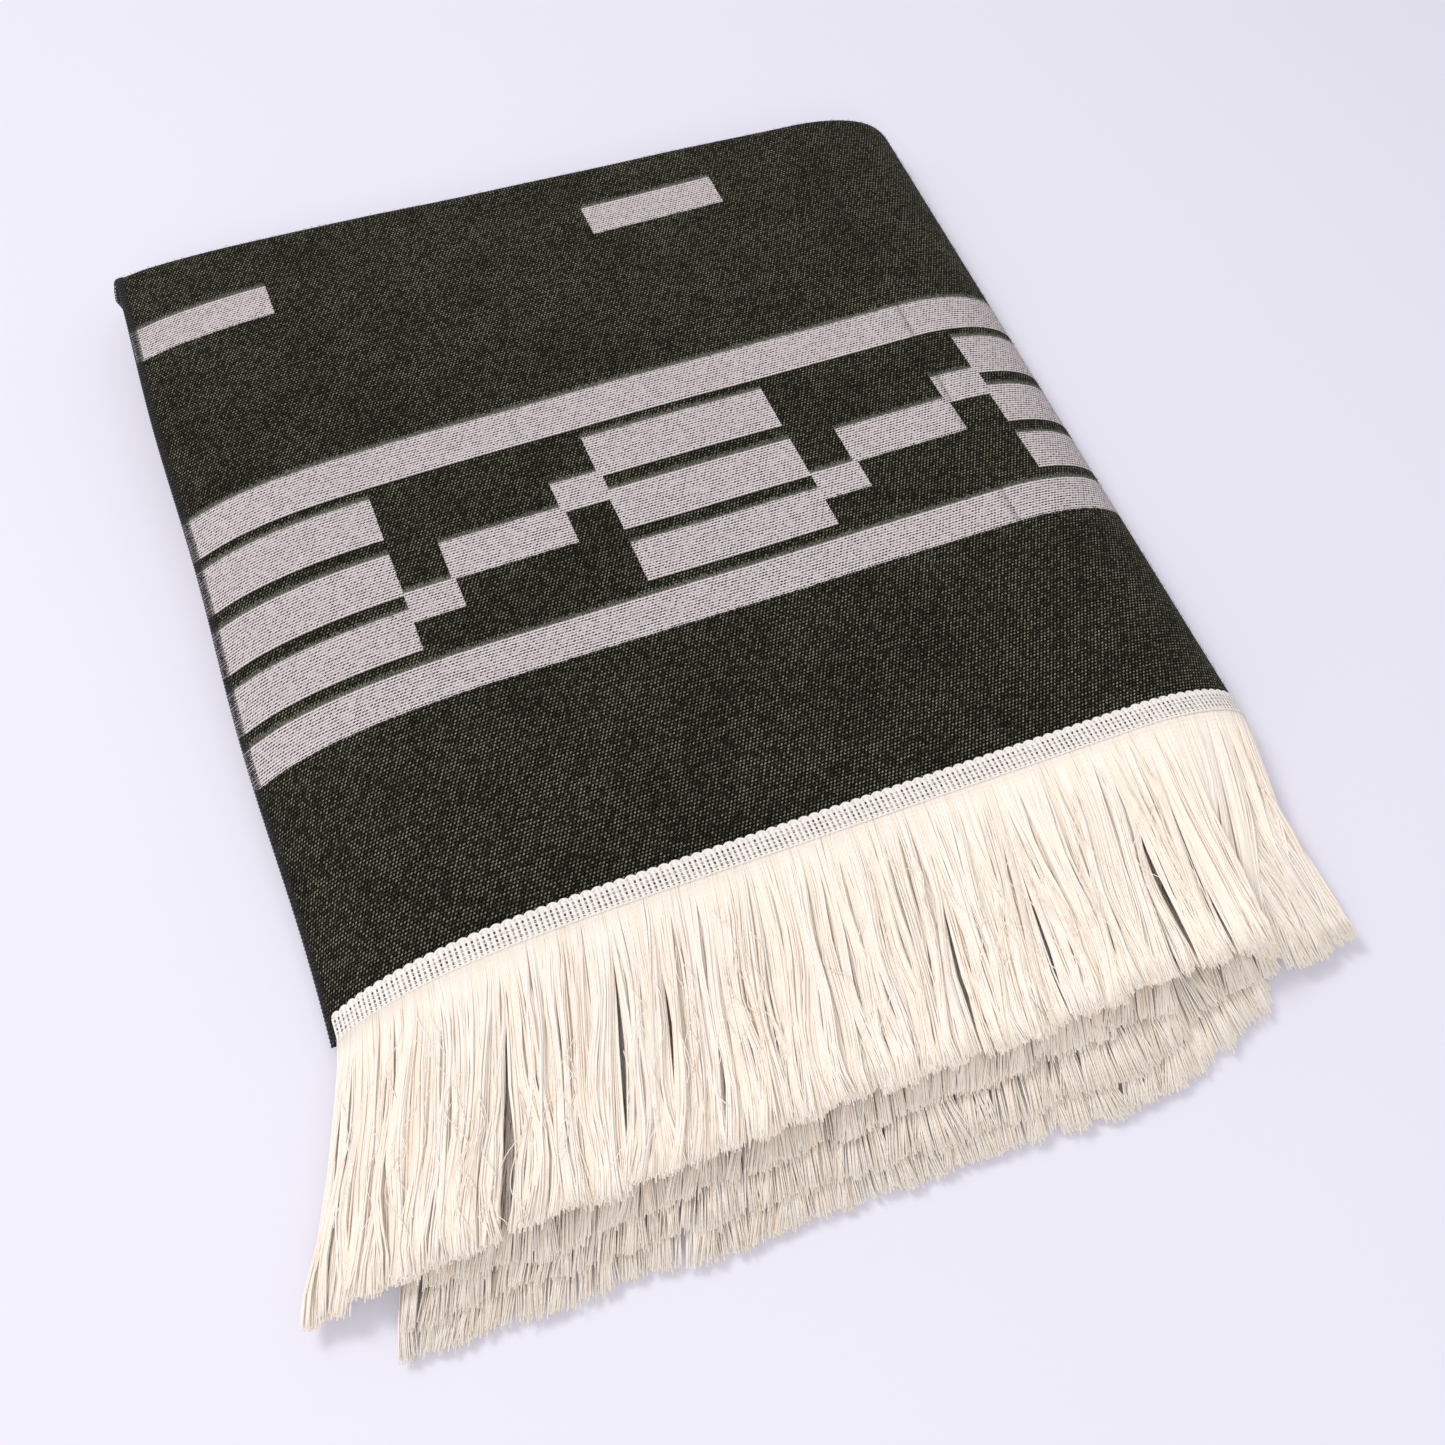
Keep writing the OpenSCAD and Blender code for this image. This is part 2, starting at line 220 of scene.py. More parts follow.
def tubes(paths: Array, radius: Array, sides: int, across: Array, numbers: Array | None = None) -> Patch:
    """Sweeps a round section along many paths at once.

    Each section lies square to its path: its first axis is the path's direction crossed with the across
    vector, and its second axis completes the frame. The UV's first value is the path's number plus the share
    of the way round, and its second value is the length along the path.

    Args:
        paths: centrelines, (paths, rings, 3).
        radius: radius of every ring, broadcast to (paths, rings).
        sides: number of sides of the section.
        across: a direction, or one for every path, that no path ever runs along.
        numbers: number of each path, which gives its yarn its own tone.

    Returns:
        The tubes as one patch, each closed by a cap at both ends.
    """
    count, rings = paths.shape[:2]
    radius = np.broadcast_to(radius, (count, rings))
    along = unit(np.gradient(paths, axis=1))
    first = unit(np.cross(along, np.broadcast_to(across, along.shape)))
    second = np.cross(along, first)
    angle = 2 * np.pi * np.arange(sides) / sides
    ring = first[:, :, None] * np.cos(angle)[:, None] + second[:, :, None] * np.sin(angle)[:, None]
    points = paths[:, :, None] + ring * radius[:, :, None, None]
    index = np.arange(count * rings * sides).reshape(count, rings, sides)
    after = np.roll(index, -1, axis=2)
    walls = np.stack([index[:, :-1], after[:, :-1], after[:, 1:], index[:, 1:]], axis=-1).reshape(-1, 4)
    step = np.linalg.norm(np.diff(paths, axis=1), axis=2)
    run = np.concatenate([np.zeros((count, 1)), np.cumsum(step, axis=1)], axis=1)
    numbers = np.arange(count, dtype=float) if numbers is None else numbers
    turn = np.arange(sides) / sides
    shape = (count, rings - 1, sides)
    near = np.broadcast_to(numbers[:, None, None] + turn, shape)
    far = near + 1 / sides * 0.999
    start = np.broadcast_to(run[:, :-1, None], shape)
    end = np.broadcast_to(run[:, 1:, None], shape)
    wall_uv = np.stack([near, start, far, start, far, end, near, end], axis=-1).reshape(-1, 2)
    cap_uv = np.stack([np.repeat(numbers + 0.5, sides), np.zeros(count * sides)], axis=-1)
    end_uv = np.stack([cap_uv[:, 0], np.repeat(run[:, -1], sides)], axis=-1)
    faces = [walls, index[:, 0, ::-1].reshape(-1, sides), index[:, -1].reshape(-1, sides)]
    rounded = np.ones(sum(len(f) for f in faces), bool)
    return Patch(points.reshape(-1, 3), faces, np.concatenate([wall_uv, cap_uv, end_uv]), rounded)


@dataclass(frozen=True)
class Rail:
    """A line along an edge of the cloth that trims follow: points, and the face's outward normals there."""

    points: Array
    normals: Array

    @property
    def run(self) -> Array:
        """Length along the rail at each of its points."""
        return np.concatenate(([0.0], np.cumsum(np.linalg.norm(np.diff(self.points, axis=0), axis=1))))

    def at(self, place: Array) -> tuple[Array, Array, Array]:
        """Points, directions and normals at given lengths along the rail, by linear interpolation.

        Args:
            place: lengths along the rail.

        Returns:
            The points, the unit directions of the rail and the unit normals there.
        """
        run = self.run
        heading = unit(np.gradient(self.points, run, axis=0))

        def mixed(values: Array) -> Array:
            """Each coordinate interpolated by itself."""
            return np.stack([np.interp(place, run, values[:, k]) for k in range(3)], axis=-1)

        return mixed(self.points), unit(mixed(heading)), unit(mixed(self.normals))


# --------------------------------------------------------------------------------------------------
# Finishes
# --------------------------------------------------------------------------------------------------

Value = Union["Tone", float]
Colour = tuple[float, float, float]


class Tone:
    """An output of a material's node tree; the usual operators add the nodes that combine it with others."""

    def __init__(self, graph: "Graph", socket: bpy.types.NodeSocket) -> None:
        """Takes an output socket of the graph's tree."""
        self.graph = graph
        self.socket = socket

    def __add__(self, other: Value) -> "Tone":
        """Sum."""
        return self.graph.math("ADD", self, other)

    def __sub__(self, other: Value) -> "Tone":
        """Difference."""
        return self.graph.math("SUBTRACT", self, other)

    def __mul__(self, other: Value) -> "Tone":
        """Product."""
        return self.graph.math("MULTIPLY", self, other)

    def __gt__(self, other: Value) -> "Tone":
        """1 where it is above the other, else 0."""
        return self.graph.math("GREATER_THAN", self, other)

    def __lt__(self, other: Value) -> "Tone":
        """1 where it is below the other, else 0."""
        return self.graph.math("LESS_THAN", self, other)

    def __abs__(self) -> "Tone":
        """Distance from zero."""
        return self.graph.math("ABSOLUTE", self)

    def floor(self) -> "Tone":
        """Whole part."""
        return self.graph.math("FLOOR", self)

    def fract(self) -> "Tone":
        """What is left over the whole part."""
        return self.graph.math("FRACT", self)

    def snap(self, step: float) -> "Tone":
        """The multiple of a step just below it."""
        return self.graph.math("SNAP", self, step)

    def span(self, other: "Tone") -> "Tone":
        """Root of the sum of both squares."""
        return self.graph.math("SQRT", self * self + other * other)

    def remap(self, low: float, high: float, start: float = 0.0, end: float = 1.0) -> "Tone":
        """Stepped smoothly from start, where it is low, to end, where it is high."""
        made = self.graph.node("ShaderNodeMapRange", interpolation_type="SMOOTHSTEP")
        return self.graph.fed(made, self, low, high, start, end)


class Graph:
    """A material's node tree, written as calls that return its outputs."""

    def __init__(self, name: str) -> None:
        """Starts an empty material with a name."""
        self.material = bpy.data.materials.new(name)
        self.material.use_nodes = True
        self.tree = self.material.node_tree
        self.tree.nodes.clear()

    def node(self, kind: str, **settings: object) -> bpy.types.Node:
        """A new node of a kind, such as ShaderNodeMath, with some of its properties set."""
        made = self.tree.nodes.new(kind)
        for key, value in settings.items():
            setattr(made, key, value)
        return made

    def feed(self, socket: bpy.types.NodeSocket, value: Value | Colour) -> None:
        """Links a socket to an output, or sets its value where the value is a number or a colour."""
        if isinstance(value, Tone):
            self.tree.links.new(value.socket, socket)
        elif isinstance(value, tuple) and socket.type == "RGBA":
            socket.default_value = (*value, 1.0)
        else:
            socket.default_value = value

    def fed(self, made: bpy.types.Node, *values: Value) -> Tone:
        """First output of a node whose first inputs take the values."""
        for socket, value in zip(made.inputs, values):
            self.feed(socket, value)
        return Tone(self, made.outputs[0])

    def named(self, made: bpy.types.Node, **values: Value | Colour) -> Tone:
        """First output of a node whose inputs take values by name, with _ for a space."""
        for key, value in values.items():
            self.feed(made.inputs[key.replace("_", " ")], value)
        return Tone(self, made.outputs[0])

    def math(self, operation: str, *values: Value) -> Tone:
        """The result of one Math node, such as MULTIPLY, for one or two values."""
        return self.fed(self.node("ShaderNodeMath", operation=operation), *values)

    def mix(self, share: Value, first: Value | Colour, second: Value | Colour) -> Tone:
        """Colour that goes from the first, at share 0, to the second, at share 1."""
        made = self.node("ShaderNodeMix", data_type="RGBA")
        self.feed(made.inputs["Factor"], share)
        self.feed(made.inputs[6], first)
        self.feed(made.inputs[7], second)
        return Tone(self, made.outputs[2])

    def place(self, x: Value, y: Value, z: Value = 0.0) -> Tone:
        """A vector from its three coordinates."""
        return self.fed(self.node("ShaderNodeCombineXYZ"), x, y, z)

    def uv(self) -> tuple[Tone, Tone]:
        """The piece's own UV pair."""
        split = self.node("ShaderNodeSeparateXYZ")
        first = self.fed(split, Tone(self, self.node("ShaderNodeUVMap", uv_map="UVMap").outputs[0]))
        return first, Tone(self, split.outputs[1])

    def noise(self, where: Tone, scale: float, detail: float = 2.0) -> Tone:
        """Smooth noise from 0 to 1 at a place."""
        return self.named(self.node("ShaderNodeTexNoise"), Vector=where, Scale=scale, Detail=detail)

    def chance(self, where: Tone) -> Tone:
        """A random number from 0 to 1 that is the same wherever the place is the same."""
        return self.named(self.node("ShaderNodeTexWhiteNoise", noise_dimensions="3D"), Vector=where)

    def relief(self, height: Tone, depth: float, strength: float) -> Tone:
        """The normal of a surface that stands out by height times depth."""
        return self.named(self.node("ShaderNodeBump"), Strength=strength, Distance=depth, Height=height)

    def finish(self, colour: Tone, roughness: float, **inputs: Value | Colour) -> bpy.types.Material:
        """Ends the tree with a Principled shader.

        Args:
            colour: base colour.
            roughness: roughness.
            inputs: other inputs by name, with _ for a space; constants are set on the shader's own sockets.

        Returns:
            The material.
        """
        shader = self.node("ShaderNodeBsdfPrincipled")
        surface = self.named(shader, Base_Color=colour, Roughness=roughness, **inputs)
        self.feed(self.node("ShaderNodeOutputMaterial").inputs[0], surface)
        return self.material


def dimmed(colour: Colour, share: float) -> Colour:
    """A colour times a share."""
    return tuple(part * share for part in colour)


@dataclass(frozen=True)
class Figure:
    """A rectangle of the woven pattern that repeats across the cloth: x from start, y from low to high."""

    start: float
    width: float
    low: float
    high: float
    repeat: float = 0.320


@dataclass(frozen=True)
class Jacquard:
    """The cloth's weave: a dark brushed ground with pale stepped figures.

    A cell is one yarn's float across the cloth and a course is one row of cells. The haze is the fuzz of dark
    fibres over the figures' far edges.
    """

    ground: Colour = (0.0014, 0.0014, 0.0005)
    fleck: Colour = (0.300, 0.285, 0.195)
    pale: Colour = (0.735, 0.655, 0.650)
    slit: Colour = (0.022, 0.019, 0.015)
    haze: Colour = (0.165, 0.168, 0.135)
    cell: float = 2.7 * MM
    course: float = 2.5 * MM
    haze_reach: float = 6.075 * MM
    edge_wobble: float = 1.6 * MM
    nap_grain: float = 5000.0
    figures: tuple[Figure, ...] = (
        Figure(0.000, 0.320, 0.046, 0.085),
        Figure(-0.049, 0.151, -0.009, 0.035),
        Figure(-0.049, 0.151, -0.067, -0.024),
        Figure(-0.049, 0.151, -0.119, -0.081),
        Figure(0.000, 0.320, -0.165, -0.132),
        Figure(-0.182, 0.098, -0.066, -0.028),
        Figure(-0.087, 0.041, -0.035, -0.003),
        Figure(-0.218, 0.039, -0.093, -0.064),
        Figure(0.040, 0.120, 0.264, 0.301, 0.400),
    )

    def figure_mask(self, graph: Graph, u: Tone, v: Tone) -> Tone:
        """1 inside the pale figures and 0 outside them.

        Args:
            graph: the material's tree.
            u: place across the cloth.
            v: place along the cloth.

        Returns:
            The mask.
        """
        total: Value = 0.0
        for figure in self.figures:
            turn = ((u - figure.start) * (1 / figure.repeat)).fract()
            inside = turn < figure.width / figure.repeat + 1e-4
            spot = (v > figure.low) * (v < figure.high) * inside
            total = graph.math("MAXIMUM", total, spot)
        return total

    def tones(self, graph: Graph) -> tuple[Tone, Tone, Tone, Tone]:
        """The places and masks that the cloth and its nap share.

        Args:
            graph: the material's tree.

        Returns:
            Place across, place along, the figures' mask, and the mask of the haze past their far edges.
        """
        u, v = graph.uv()
        shift = (graph.noise(graph.place(u, v), 420.0, 1.0) - 0.5) * self.edge_wobble
        across = (u + shift).snap(self.cell / 2)
        along = (v + shift).snap(self.course / 2)
        mask = self.figure_mask(graph, across, along)
        fibre = graph.noise(graph.place(u * 1900.0, v * 240.0), 1.0, 2.0)
        reach = fibre.remap(0.32, 0.68) * self.haze_reach
        return u, v, mask, self.figure_mask(graph, across, v - reach)

    def cloth(self) -> bpy.types.Material:
        """The cloth's finish: staggered cells, with bright flecks on the ground and dark slits in figures.

        Both marks are short slanted dashes: a mark fades with the distance from the middle of its cell, and
        that distance is longer one way than the other.

        Returns:
            The material.
        """
        graph = Graph("jacquard_cloth")
        u, v, mask, hazy = self.tones(graph)
        drift = (graph.noise(graph.place(u, v), 900.0, 2.0) - 0.5) * 0.55
        row_place = v * (1 / self.course) + drift
        row = row_place.floor()
        place = u * (1 / self.cell) + (row * 0.5).fract() + drift
        x = place.fract() - 0.5
        y = row_place.fract() - 0.5
        own = graph.chance(graph.place(place.floor(), row, 3.0))
        dark_mark = (x * 1.3 + y * 1.1).span(y * 2.5 - x * 1.1).remap(0.50, 1.02, 1.0, 0.0)
        bright_mark = ((y + x) * 1.5).span((y - x) * 2.6).remap(0.25, 1.05, 1.0, 0.0)
        fine = graph.noise(graph.place(u, v), 1500.0, 3.0)
        speck = bright_mark * own.remap(0.0, 1.0, 0.15, 1.0) * fine.remap(0.35, 0.65, 0.35, 1.35)
        speck = speck + fine.remap(0.56, 0.80, 0.0, 0.45)
        mottle = graph.noise(graph.place(u, v, 0.2), 22.0, 2.0)
        ground = graph.mix(speck * mottle.remap(0.2, 0.8, 0.75, 1.25), self.ground, self.fleck)
        ground = graph.mix(hazy * fine.remap(0.30, 0.60, 0.25, 0.95), ground, self.haze)
        yarn = graph.mix(fine.remap(0.35, 0.65), self.pale, dimmed(self.pale, 0.84))
        pale = graph.mix(dark_mark * own.remap(0.0, 0.8, 0.6, 1.0), yarn, self.slit)
        height = dark_mark * mask * -1.0 + fine * 1.2 + bright_mark * 0.6
        return graph.finish(graph.mix(mask, ground, pale), 0.92, Normal=graph.relief(height, 0.35 * MM, 0.7),
                            Sheen_Weight=0.03, Sheen_Roughness=0.45, Sheen_Tint=(0.62, 0.66, 0.52),
                            Specular_IOR_Level=0.06)

    def nap(self) -> bpy.types.Material:
        """The finish of the raised fibres, which take the colour of the cloth that they stand on."""
        graph = Graph("cloth_nap")
        u, v, mask, _ = self.tones(graph)
        own = graph.chance(graph.place(u * self.nap_grain, v * self.nap_grain))
        dark = graph.mix(own, self.ground, self.haze)
        pale = graph.mix(own, self.pale, dimmed(self.pale, 0.8))
        return graph.finish(graph.mix(mask, dark, pale), 0.9, Specular_IOR_Level=0.1)


@dataclass(frozen=True)
class Yarn:
    """Twisted yarn: its plies wind round it, every yarn has a tone of its own, and the grooves between its
    plies are darkened as painted shade.
    """

    name: str
    light: Colour
    # deep colour: the yarn's darker random tone, and also the painted shade in the grooves between the plies
    deep_and_groove_shade: Colour
    twist: float = 3.2 * MM
    plies: int = 2
    roughness: float = 0.75
    sheen: float = 0.15

    def material(self) -> bpy.types.Material:
        """The yarn's finish.

        The UV's whole part picks the yarn's tone, and its fraction, with the length, gives the plies; the
        grooves between the plies are mixed up to a fifth further towards the deep colour as painted shade,
        besides their relief.

        Returns:
            The material.
        """
        graph = Graph(self.name)
        turn, run = graph.uv()
        number = turn.floor()
        own = graph.chance(graph.place(number, 1.0, 2.0))
        wound = turn * float(self.plies) + run * (1 / self.twist)
        groove = abs(wound.fract() - 0.5).remap(0.30, 0.5)
        patch = graph.noise(graph.place(number * 0.37, run * 30.0), 1.0)
        # groove * 0.2 paints shade into the grooves between the plies; the rest of the share is the yarn's own
        # random tone
        share = ((own + patch) * 0.5).remap(0.25, 0.75, 0.0, 0.8) + groove * 0.2
        return graph.finish(graph.mix(share, self.light, self.deep_and_groove_shade), self.roughness,
                            Normal=graph.relief(groove * -1.0, 0.12 * MM, 0.5), Sheen_Weight=self.sheen,
                            Specular_IOR_Level=0.25)


@dataclass(frozen=True)
class TapeWeave:
    """The finish of the woven tape: upright cords with small dark openings between them."""

    cord: Colour = (0.90, 0.86, 0.81)
    shade: Colour = (0.66, 0.60, 0.54)
    opening: Colour = (0.055, 0.045, 0.032)

    def material(self, tape: "Tape") -> bpy.types.Material:
        """The tape's finish, whose openings lie where the tape's own relief is pierced.

        Args:
            tape: the tape, which gives the spacing of the cords and of the rows.

        Returns:
            The material.
        """
        graph = Graph("woven_tape")
        q, p = graph.uv()
        column, row = q * (1 / tape.column), p * (1 / tape.row)
        gap = abs(column.fract() - 0.5).remap(0.12, 0.26, 1.0, 0.0)
        window = abs(row.fract() - 0.5).remap(0.24, 0.44, 1.0, 0.0)
        open_part = (p > tape.solid_edge) * (p < tape.height - tape.scallop - 0.2 * MM)
        own = graph.chance(graph.place(column.floor(), row.floor(), 5.0))
        pierced = gap * window * open_part * own.remap(0.0, 0.7, 0.5, 1.0)
        fine = graph.noise(graph.place(q * 1800.0, p * 420.0), 1.0, 2.0)
        strand = graph.mix(fine.remap(0.3, 0.7, 0.0, 0.7), self.cord, self.shade)
        normal = graph.relief(fine, 0.2 * MM, 0.6)
        return graph.finish(graph.mix(pierced, strand, self.opening), 0.8, Normal=normal, Sheen_Weight=0.1,
                            Specular_IOR_Level=0.2)


@dataclass(frozen=True)
class FloorPaint:
    """The plain pale floor."""

    colour: Colour = (0.745, 0.73, 0.80)

    def material(self) -> bpy.types.Material:
        """The floor's finish, with a faint unevenness."""
        graph = Graph("floor_paint")
        where = Tone(graph, graph.node("ShaderNodeTexCoord").outputs["Object"])
        colour = graph.mix(graph.noise(where, 0.8, 1.0), self.colour, dimmed(self.colour, 0.985))
        return graph.finish(colour, 0.7, Specular_IOR_Level=0.2)


# --------------------------------------------------------------------------------------------------
# Cloth
# --------------------------------------------------------------------------------------------------

@dataclass(frozen=True)
class Stack:
    """Sizes of the folded stack; the places come from the frame's own boxes."""

    left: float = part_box("top_panel")[0].x
    front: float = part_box("top_panel")[0].y
    height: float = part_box("top_panel")[1].z
    second_front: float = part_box("second_panel")[0].y
    third_front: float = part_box("third_panel")[0].y
    base_front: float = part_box("base_panel")[0].y
    second_left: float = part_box("second_panel")[0].x
    third_left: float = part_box("third_panel")[0].x
    base_left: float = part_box("base_panel")[0].x
    width: float = 0.720
    depth: float = 0.726
    taper: float = 0.046
    skew: float = 0.028
    drop: float = 0.052
    far_drop: float = 0.010
    hem_slant: float = 0.004
    reach: float = 0.300
    power: float = 5.0
    fold_width: float = 0.096
    waist: float = 0.014
    under: float = 0.020
    inner_inset: float = 0.0168
    cloth: float = 5.0 * MM
    hem_cloth: float = 3.0 * MM
    clearance: float = 0.25 * MM

    @property
    def middle(self) -> float:
        """Height between the upper and the lower leaf."""
        return self.height / 2

    @property
    def lip(self) -> float:
        """How far the far fold's lip bulges backwards, to the middle of the cloth."""
        return self.height / 4 - self.cloth / 2

    def hem(self, y: Array) -> Array:
        """Place of the top layer's hem at depth y: it stands a little further in at the front."""
        share = (np.asarray(y) - self.front) / self.depth
        return self.left + 4.0 * MM + self.hem_slant * (1 - smooth(0.0, 0.45, share))

    def drop_at(self, y: Array) -> Array:
        """How far the hem hangs below the top at depth y."""
        share = np.clip((np.asarray(y) - self.front) / self.depth, 0, 1)
        return self.drop + (self.far_drop - self.drop) * share

    def surface(self, s: Array, y: Array) -> Array:
        """Height of the top face at depth y and at distance s from its hem.

        It is the full height less a drop that dies away as a power of the distance.
        """
        return self.height - self.drop_at(y) * np.clip(1 - np.asarray(s) / self.reach, 0, None) ** self.power

    def side(self, y: Array) -> Array:
        """Place of the side fold's edge at depth y."""
        return self.left + self.width - self.taper * (self.front + self.depth - y) / self.depth

    def far(self, x: Array) -> Array:
        """Where the far lip starts to turn, at width x."""
        edge = self.front + self.depth - self.skew * x / self.width
        return edge - self.lip - self.cloth / 2

    def ripple(self, x: Array, y: Array) -> Array:
        """Slow waves of the top face, a sum of a few sines that die away towards the front edge."""
        wave = (np.sin(9.0 * x + 13.0 * y + 0.7) + 0.7 * np.sin(17.0 * x - 11.0 * y + 2.1)
                + 0.5 * np.sin(31.0 * y + 5.0 * x + 4.0) + 0.35 * np.sin(43.0 * x + 21.0 * y))
        return 0.55 * MM * wave * smooth(0.0, 0.09, y - self.front)


@dataclass
class ClothPart:
    """One part of the cloth as a grid: middle surface, thickness and cloth coordinates."""

    middle: Array
    thickness: Array
    uv: Array
    normals: Array = field(init=False)

    def __post_init__(self) -> None:
        """Works out the normals of the middle surface."""
        self.normals = sheet_normals(self.middle)

    @property
    def right_face(self) -> Array:
        """Points of the cloth's right side, half a thickness out from the middle surface."""
        return self.middle + self.normals * self.thickness[..., None] / 2

    def patch(self) -> Patch:
        """The closed part."""
        wrong_face = self.middle - self.normals * self.thickness[..., None] / 2
        return closed_sheet(self.right_face, wrong_face, self.uv)


@dataclass
class Cloth:
    """The throw's cloth, in four parts that meet edge to edge: two leaves, side wrap and inner fold."""

    stack: Stack
    weave: Jacquard
    columns: int = 116
    wrap_columns: int = 44
    rows: int = 116
    lip_rows: int = 8
    slant: float = 0.045
    tape_lift: float = 2.4 * MM
    swell: float = 20.0 * MM

    def across_place(self, x: Array, y: Array) -> Array:
        """Place across the flat cloth at width x and depth y, the same as x past the drape.

        It is the running length of the top face's curve, counted back from the end of the drape. The extra
        length of the curve is close to the integral of half its slope squared, which has a closed form here.
        """
        stack = self.stack
        left = np.clip(1 - (x - stack.hem(y)) / stack.reach, 0, None)
        slope = stack.power * stack.drop_at(y) / stack.reach
        excess = slope ** 2 / 2 * stack.reach * left ** (2 * stack.power - 1) / (2 * stack.power - 1)
        return x - excess

    def depth_rows(self, ends: Array, front: Array) -> Array:
        """Depths of the grid's rows from the front edge to the far lip, the first rows close together.

        Args:
            ends: where the far lip starts, for each column.
            front: where the front edge lies, for each column.

        Returns:
            Depths, (columns, rows).
        """
        share = np.linspace(0, 1, self.rows) ** 1.08
        return front[:, None] + (ends - front)[:, None] * share

    def folded(self, outer: Array, inner: Array, outer_v: Array, inner_v: Array) -> tuple[Array, Array]:
        """Joins an outer and an inner layer over the far lip, which is half an ellipse between their ends.

        Args:
            outer: outer layer's points, front to back.
            inner: inner layer's points, front to back.
            outer_v: place along the cloth for the outer layer's points.
            inner_v: the same for the inner layer's points.

        Returns:
            The whole grid from the outer front to the inner front, and its place along the cloth.
        """
        angle = np.linspace(0, np.pi, 2 * self.lip_rows + 1)[1:-1][None, :, None]
        start, end = outer[:, -1:], inner[:, -1:]
        bulge = BACKWARDS * self.stack.lip * np.sin(angle)
        lip = (start + end) / 2 + (start - end) / 2 * np.cos(angle) + bulge
        turn = self.stack.lip * np.minimum(angle[..., 0], np.pi - angle[..., 0])
        lip_v = outer_v[:, -1:] + turn
        return (np.concatenate([outer, lip, inner[:, ::-1]], axis=1),
                np.concatenate([outer_v, lip_v, inner_v[:, ::-1]], axis=1))

    def front_of_base(self, x: Array) -> Array:
        """Front edge of the base layer: it slants forwards to the right, and is drawn back at the fold."""
        stack = self.stack
        line = stack.base_front + 14.0 * MM - self.slant * (x - stack.left)
        return line + (stack.front - line) * smooth(0.15, 0.285, x)

    def front_of_third(self, x: Array) -> Array:
        """Front edge of the third layer, drawn back to the second layer's front at the inner fold."""
        stack = self.stack
        line = stack.third_front + 8.0 * MM - self.slant * (x - stack.left)
        return line + (stack.second_front - line) * smooth(0.12, 0.22, x)

    def lifted(self, y: Array, front: Array) -> Array:
        """How far a layer's front stands up over the tape under it."""
        return self.tape_lift * (1 - smooth(0.02, 0.06, y - front))

    def thickness(self, hem_distance: Array, shape: tuple[int, int]) -> Array:
        """Thickness of the cloth, pressed thinner at its overlocked hem."""
        stack = self.stack
        value = stack.hem_cloth + (stack.cloth - stack.hem_cloth) * smooth(0.004, 0.03, hem_distance)
        return np.broadcast_to(value, shape)

    def upper(self) -> ClothPart:
        """Top layer, far lip and second layer, from the open hems to the side fold.

        The top layer follows the drape; the second layer lies level half a stack lower, or close under the
        top one.

        Returns:
            The part.
        """
        stack = self.stack
        share = np.linspace(0, 1, self.columns) ** 1.25
        flat = stack.side(stack.front + stack.depth / 2) - stack.fold_width - stack.left
        ends = stack.far(stack.left + share * flat)
        y = self.depth_rows(ends, np.full(self.columns, stack.front))
        s = share[:, None] * (stack.side(y) - stack.fold_width - stack.hem(y))
        hem_wave = 1.2 * MM * np.sin(19.0 * y + 1.0) * (1 - smooth(0, 0.08, s))
        x = stack.hem(y) + s + hem_wave
        level = smooth(0.0, 0.3, 1 - share)[:, None]
        outer = stack_xyz(x, y, stack.surface(s, y) - stack.cloth / 2 + stack.ripple(x, y) * level)
        inner_y = self.depth_rows(ends, np.full(self.columns, stack.second_front))
        inner_s = share[:, None] * (stack.side(inner_y) - stack.fold_width - stack.left)
        back = (inner_y - stack.second_front) / (ends[:, None] - stack.second_front)
        inset = (stack.second_left - stack.left) * (1 - back ** 3) * (1 - share[:, None]) ** 2
        inner_x = stack.left + inner_s + inset
        level_rest = stack.middle + stack.clearance + stack.cloth / 2
        rest = level_rest + self.lifted(inner_y, stack.second_front)
        above = stack.surface(inner_x - stack.hem(inner_y), inner_y)
        under_top = above - 1.5 * stack.cloth - 2 * stack.clearance
        inner = stack_xyz(inner_x, inner_y, np.minimum(rest, under_top))
        points, v = self.folded(outer, inner, y, inner_y - stack.second_front + stack.front)
        u = self.across_place(x, y)
        inner_u = self.across_place(stack.hem(inner_y) + inner_s, inner_y)
        lip_u = np.repeat(inner_u[:, -1:], 2 * self.lip_rows - 1, axis=1)
        u = np.concatenate([u, lip_u, inner_u[:, ::-1]], axis=1)
        return ClothPart(points, self.thickness(share[:, None] * flat, v.shape), np.stack([u, v], axis=-1))

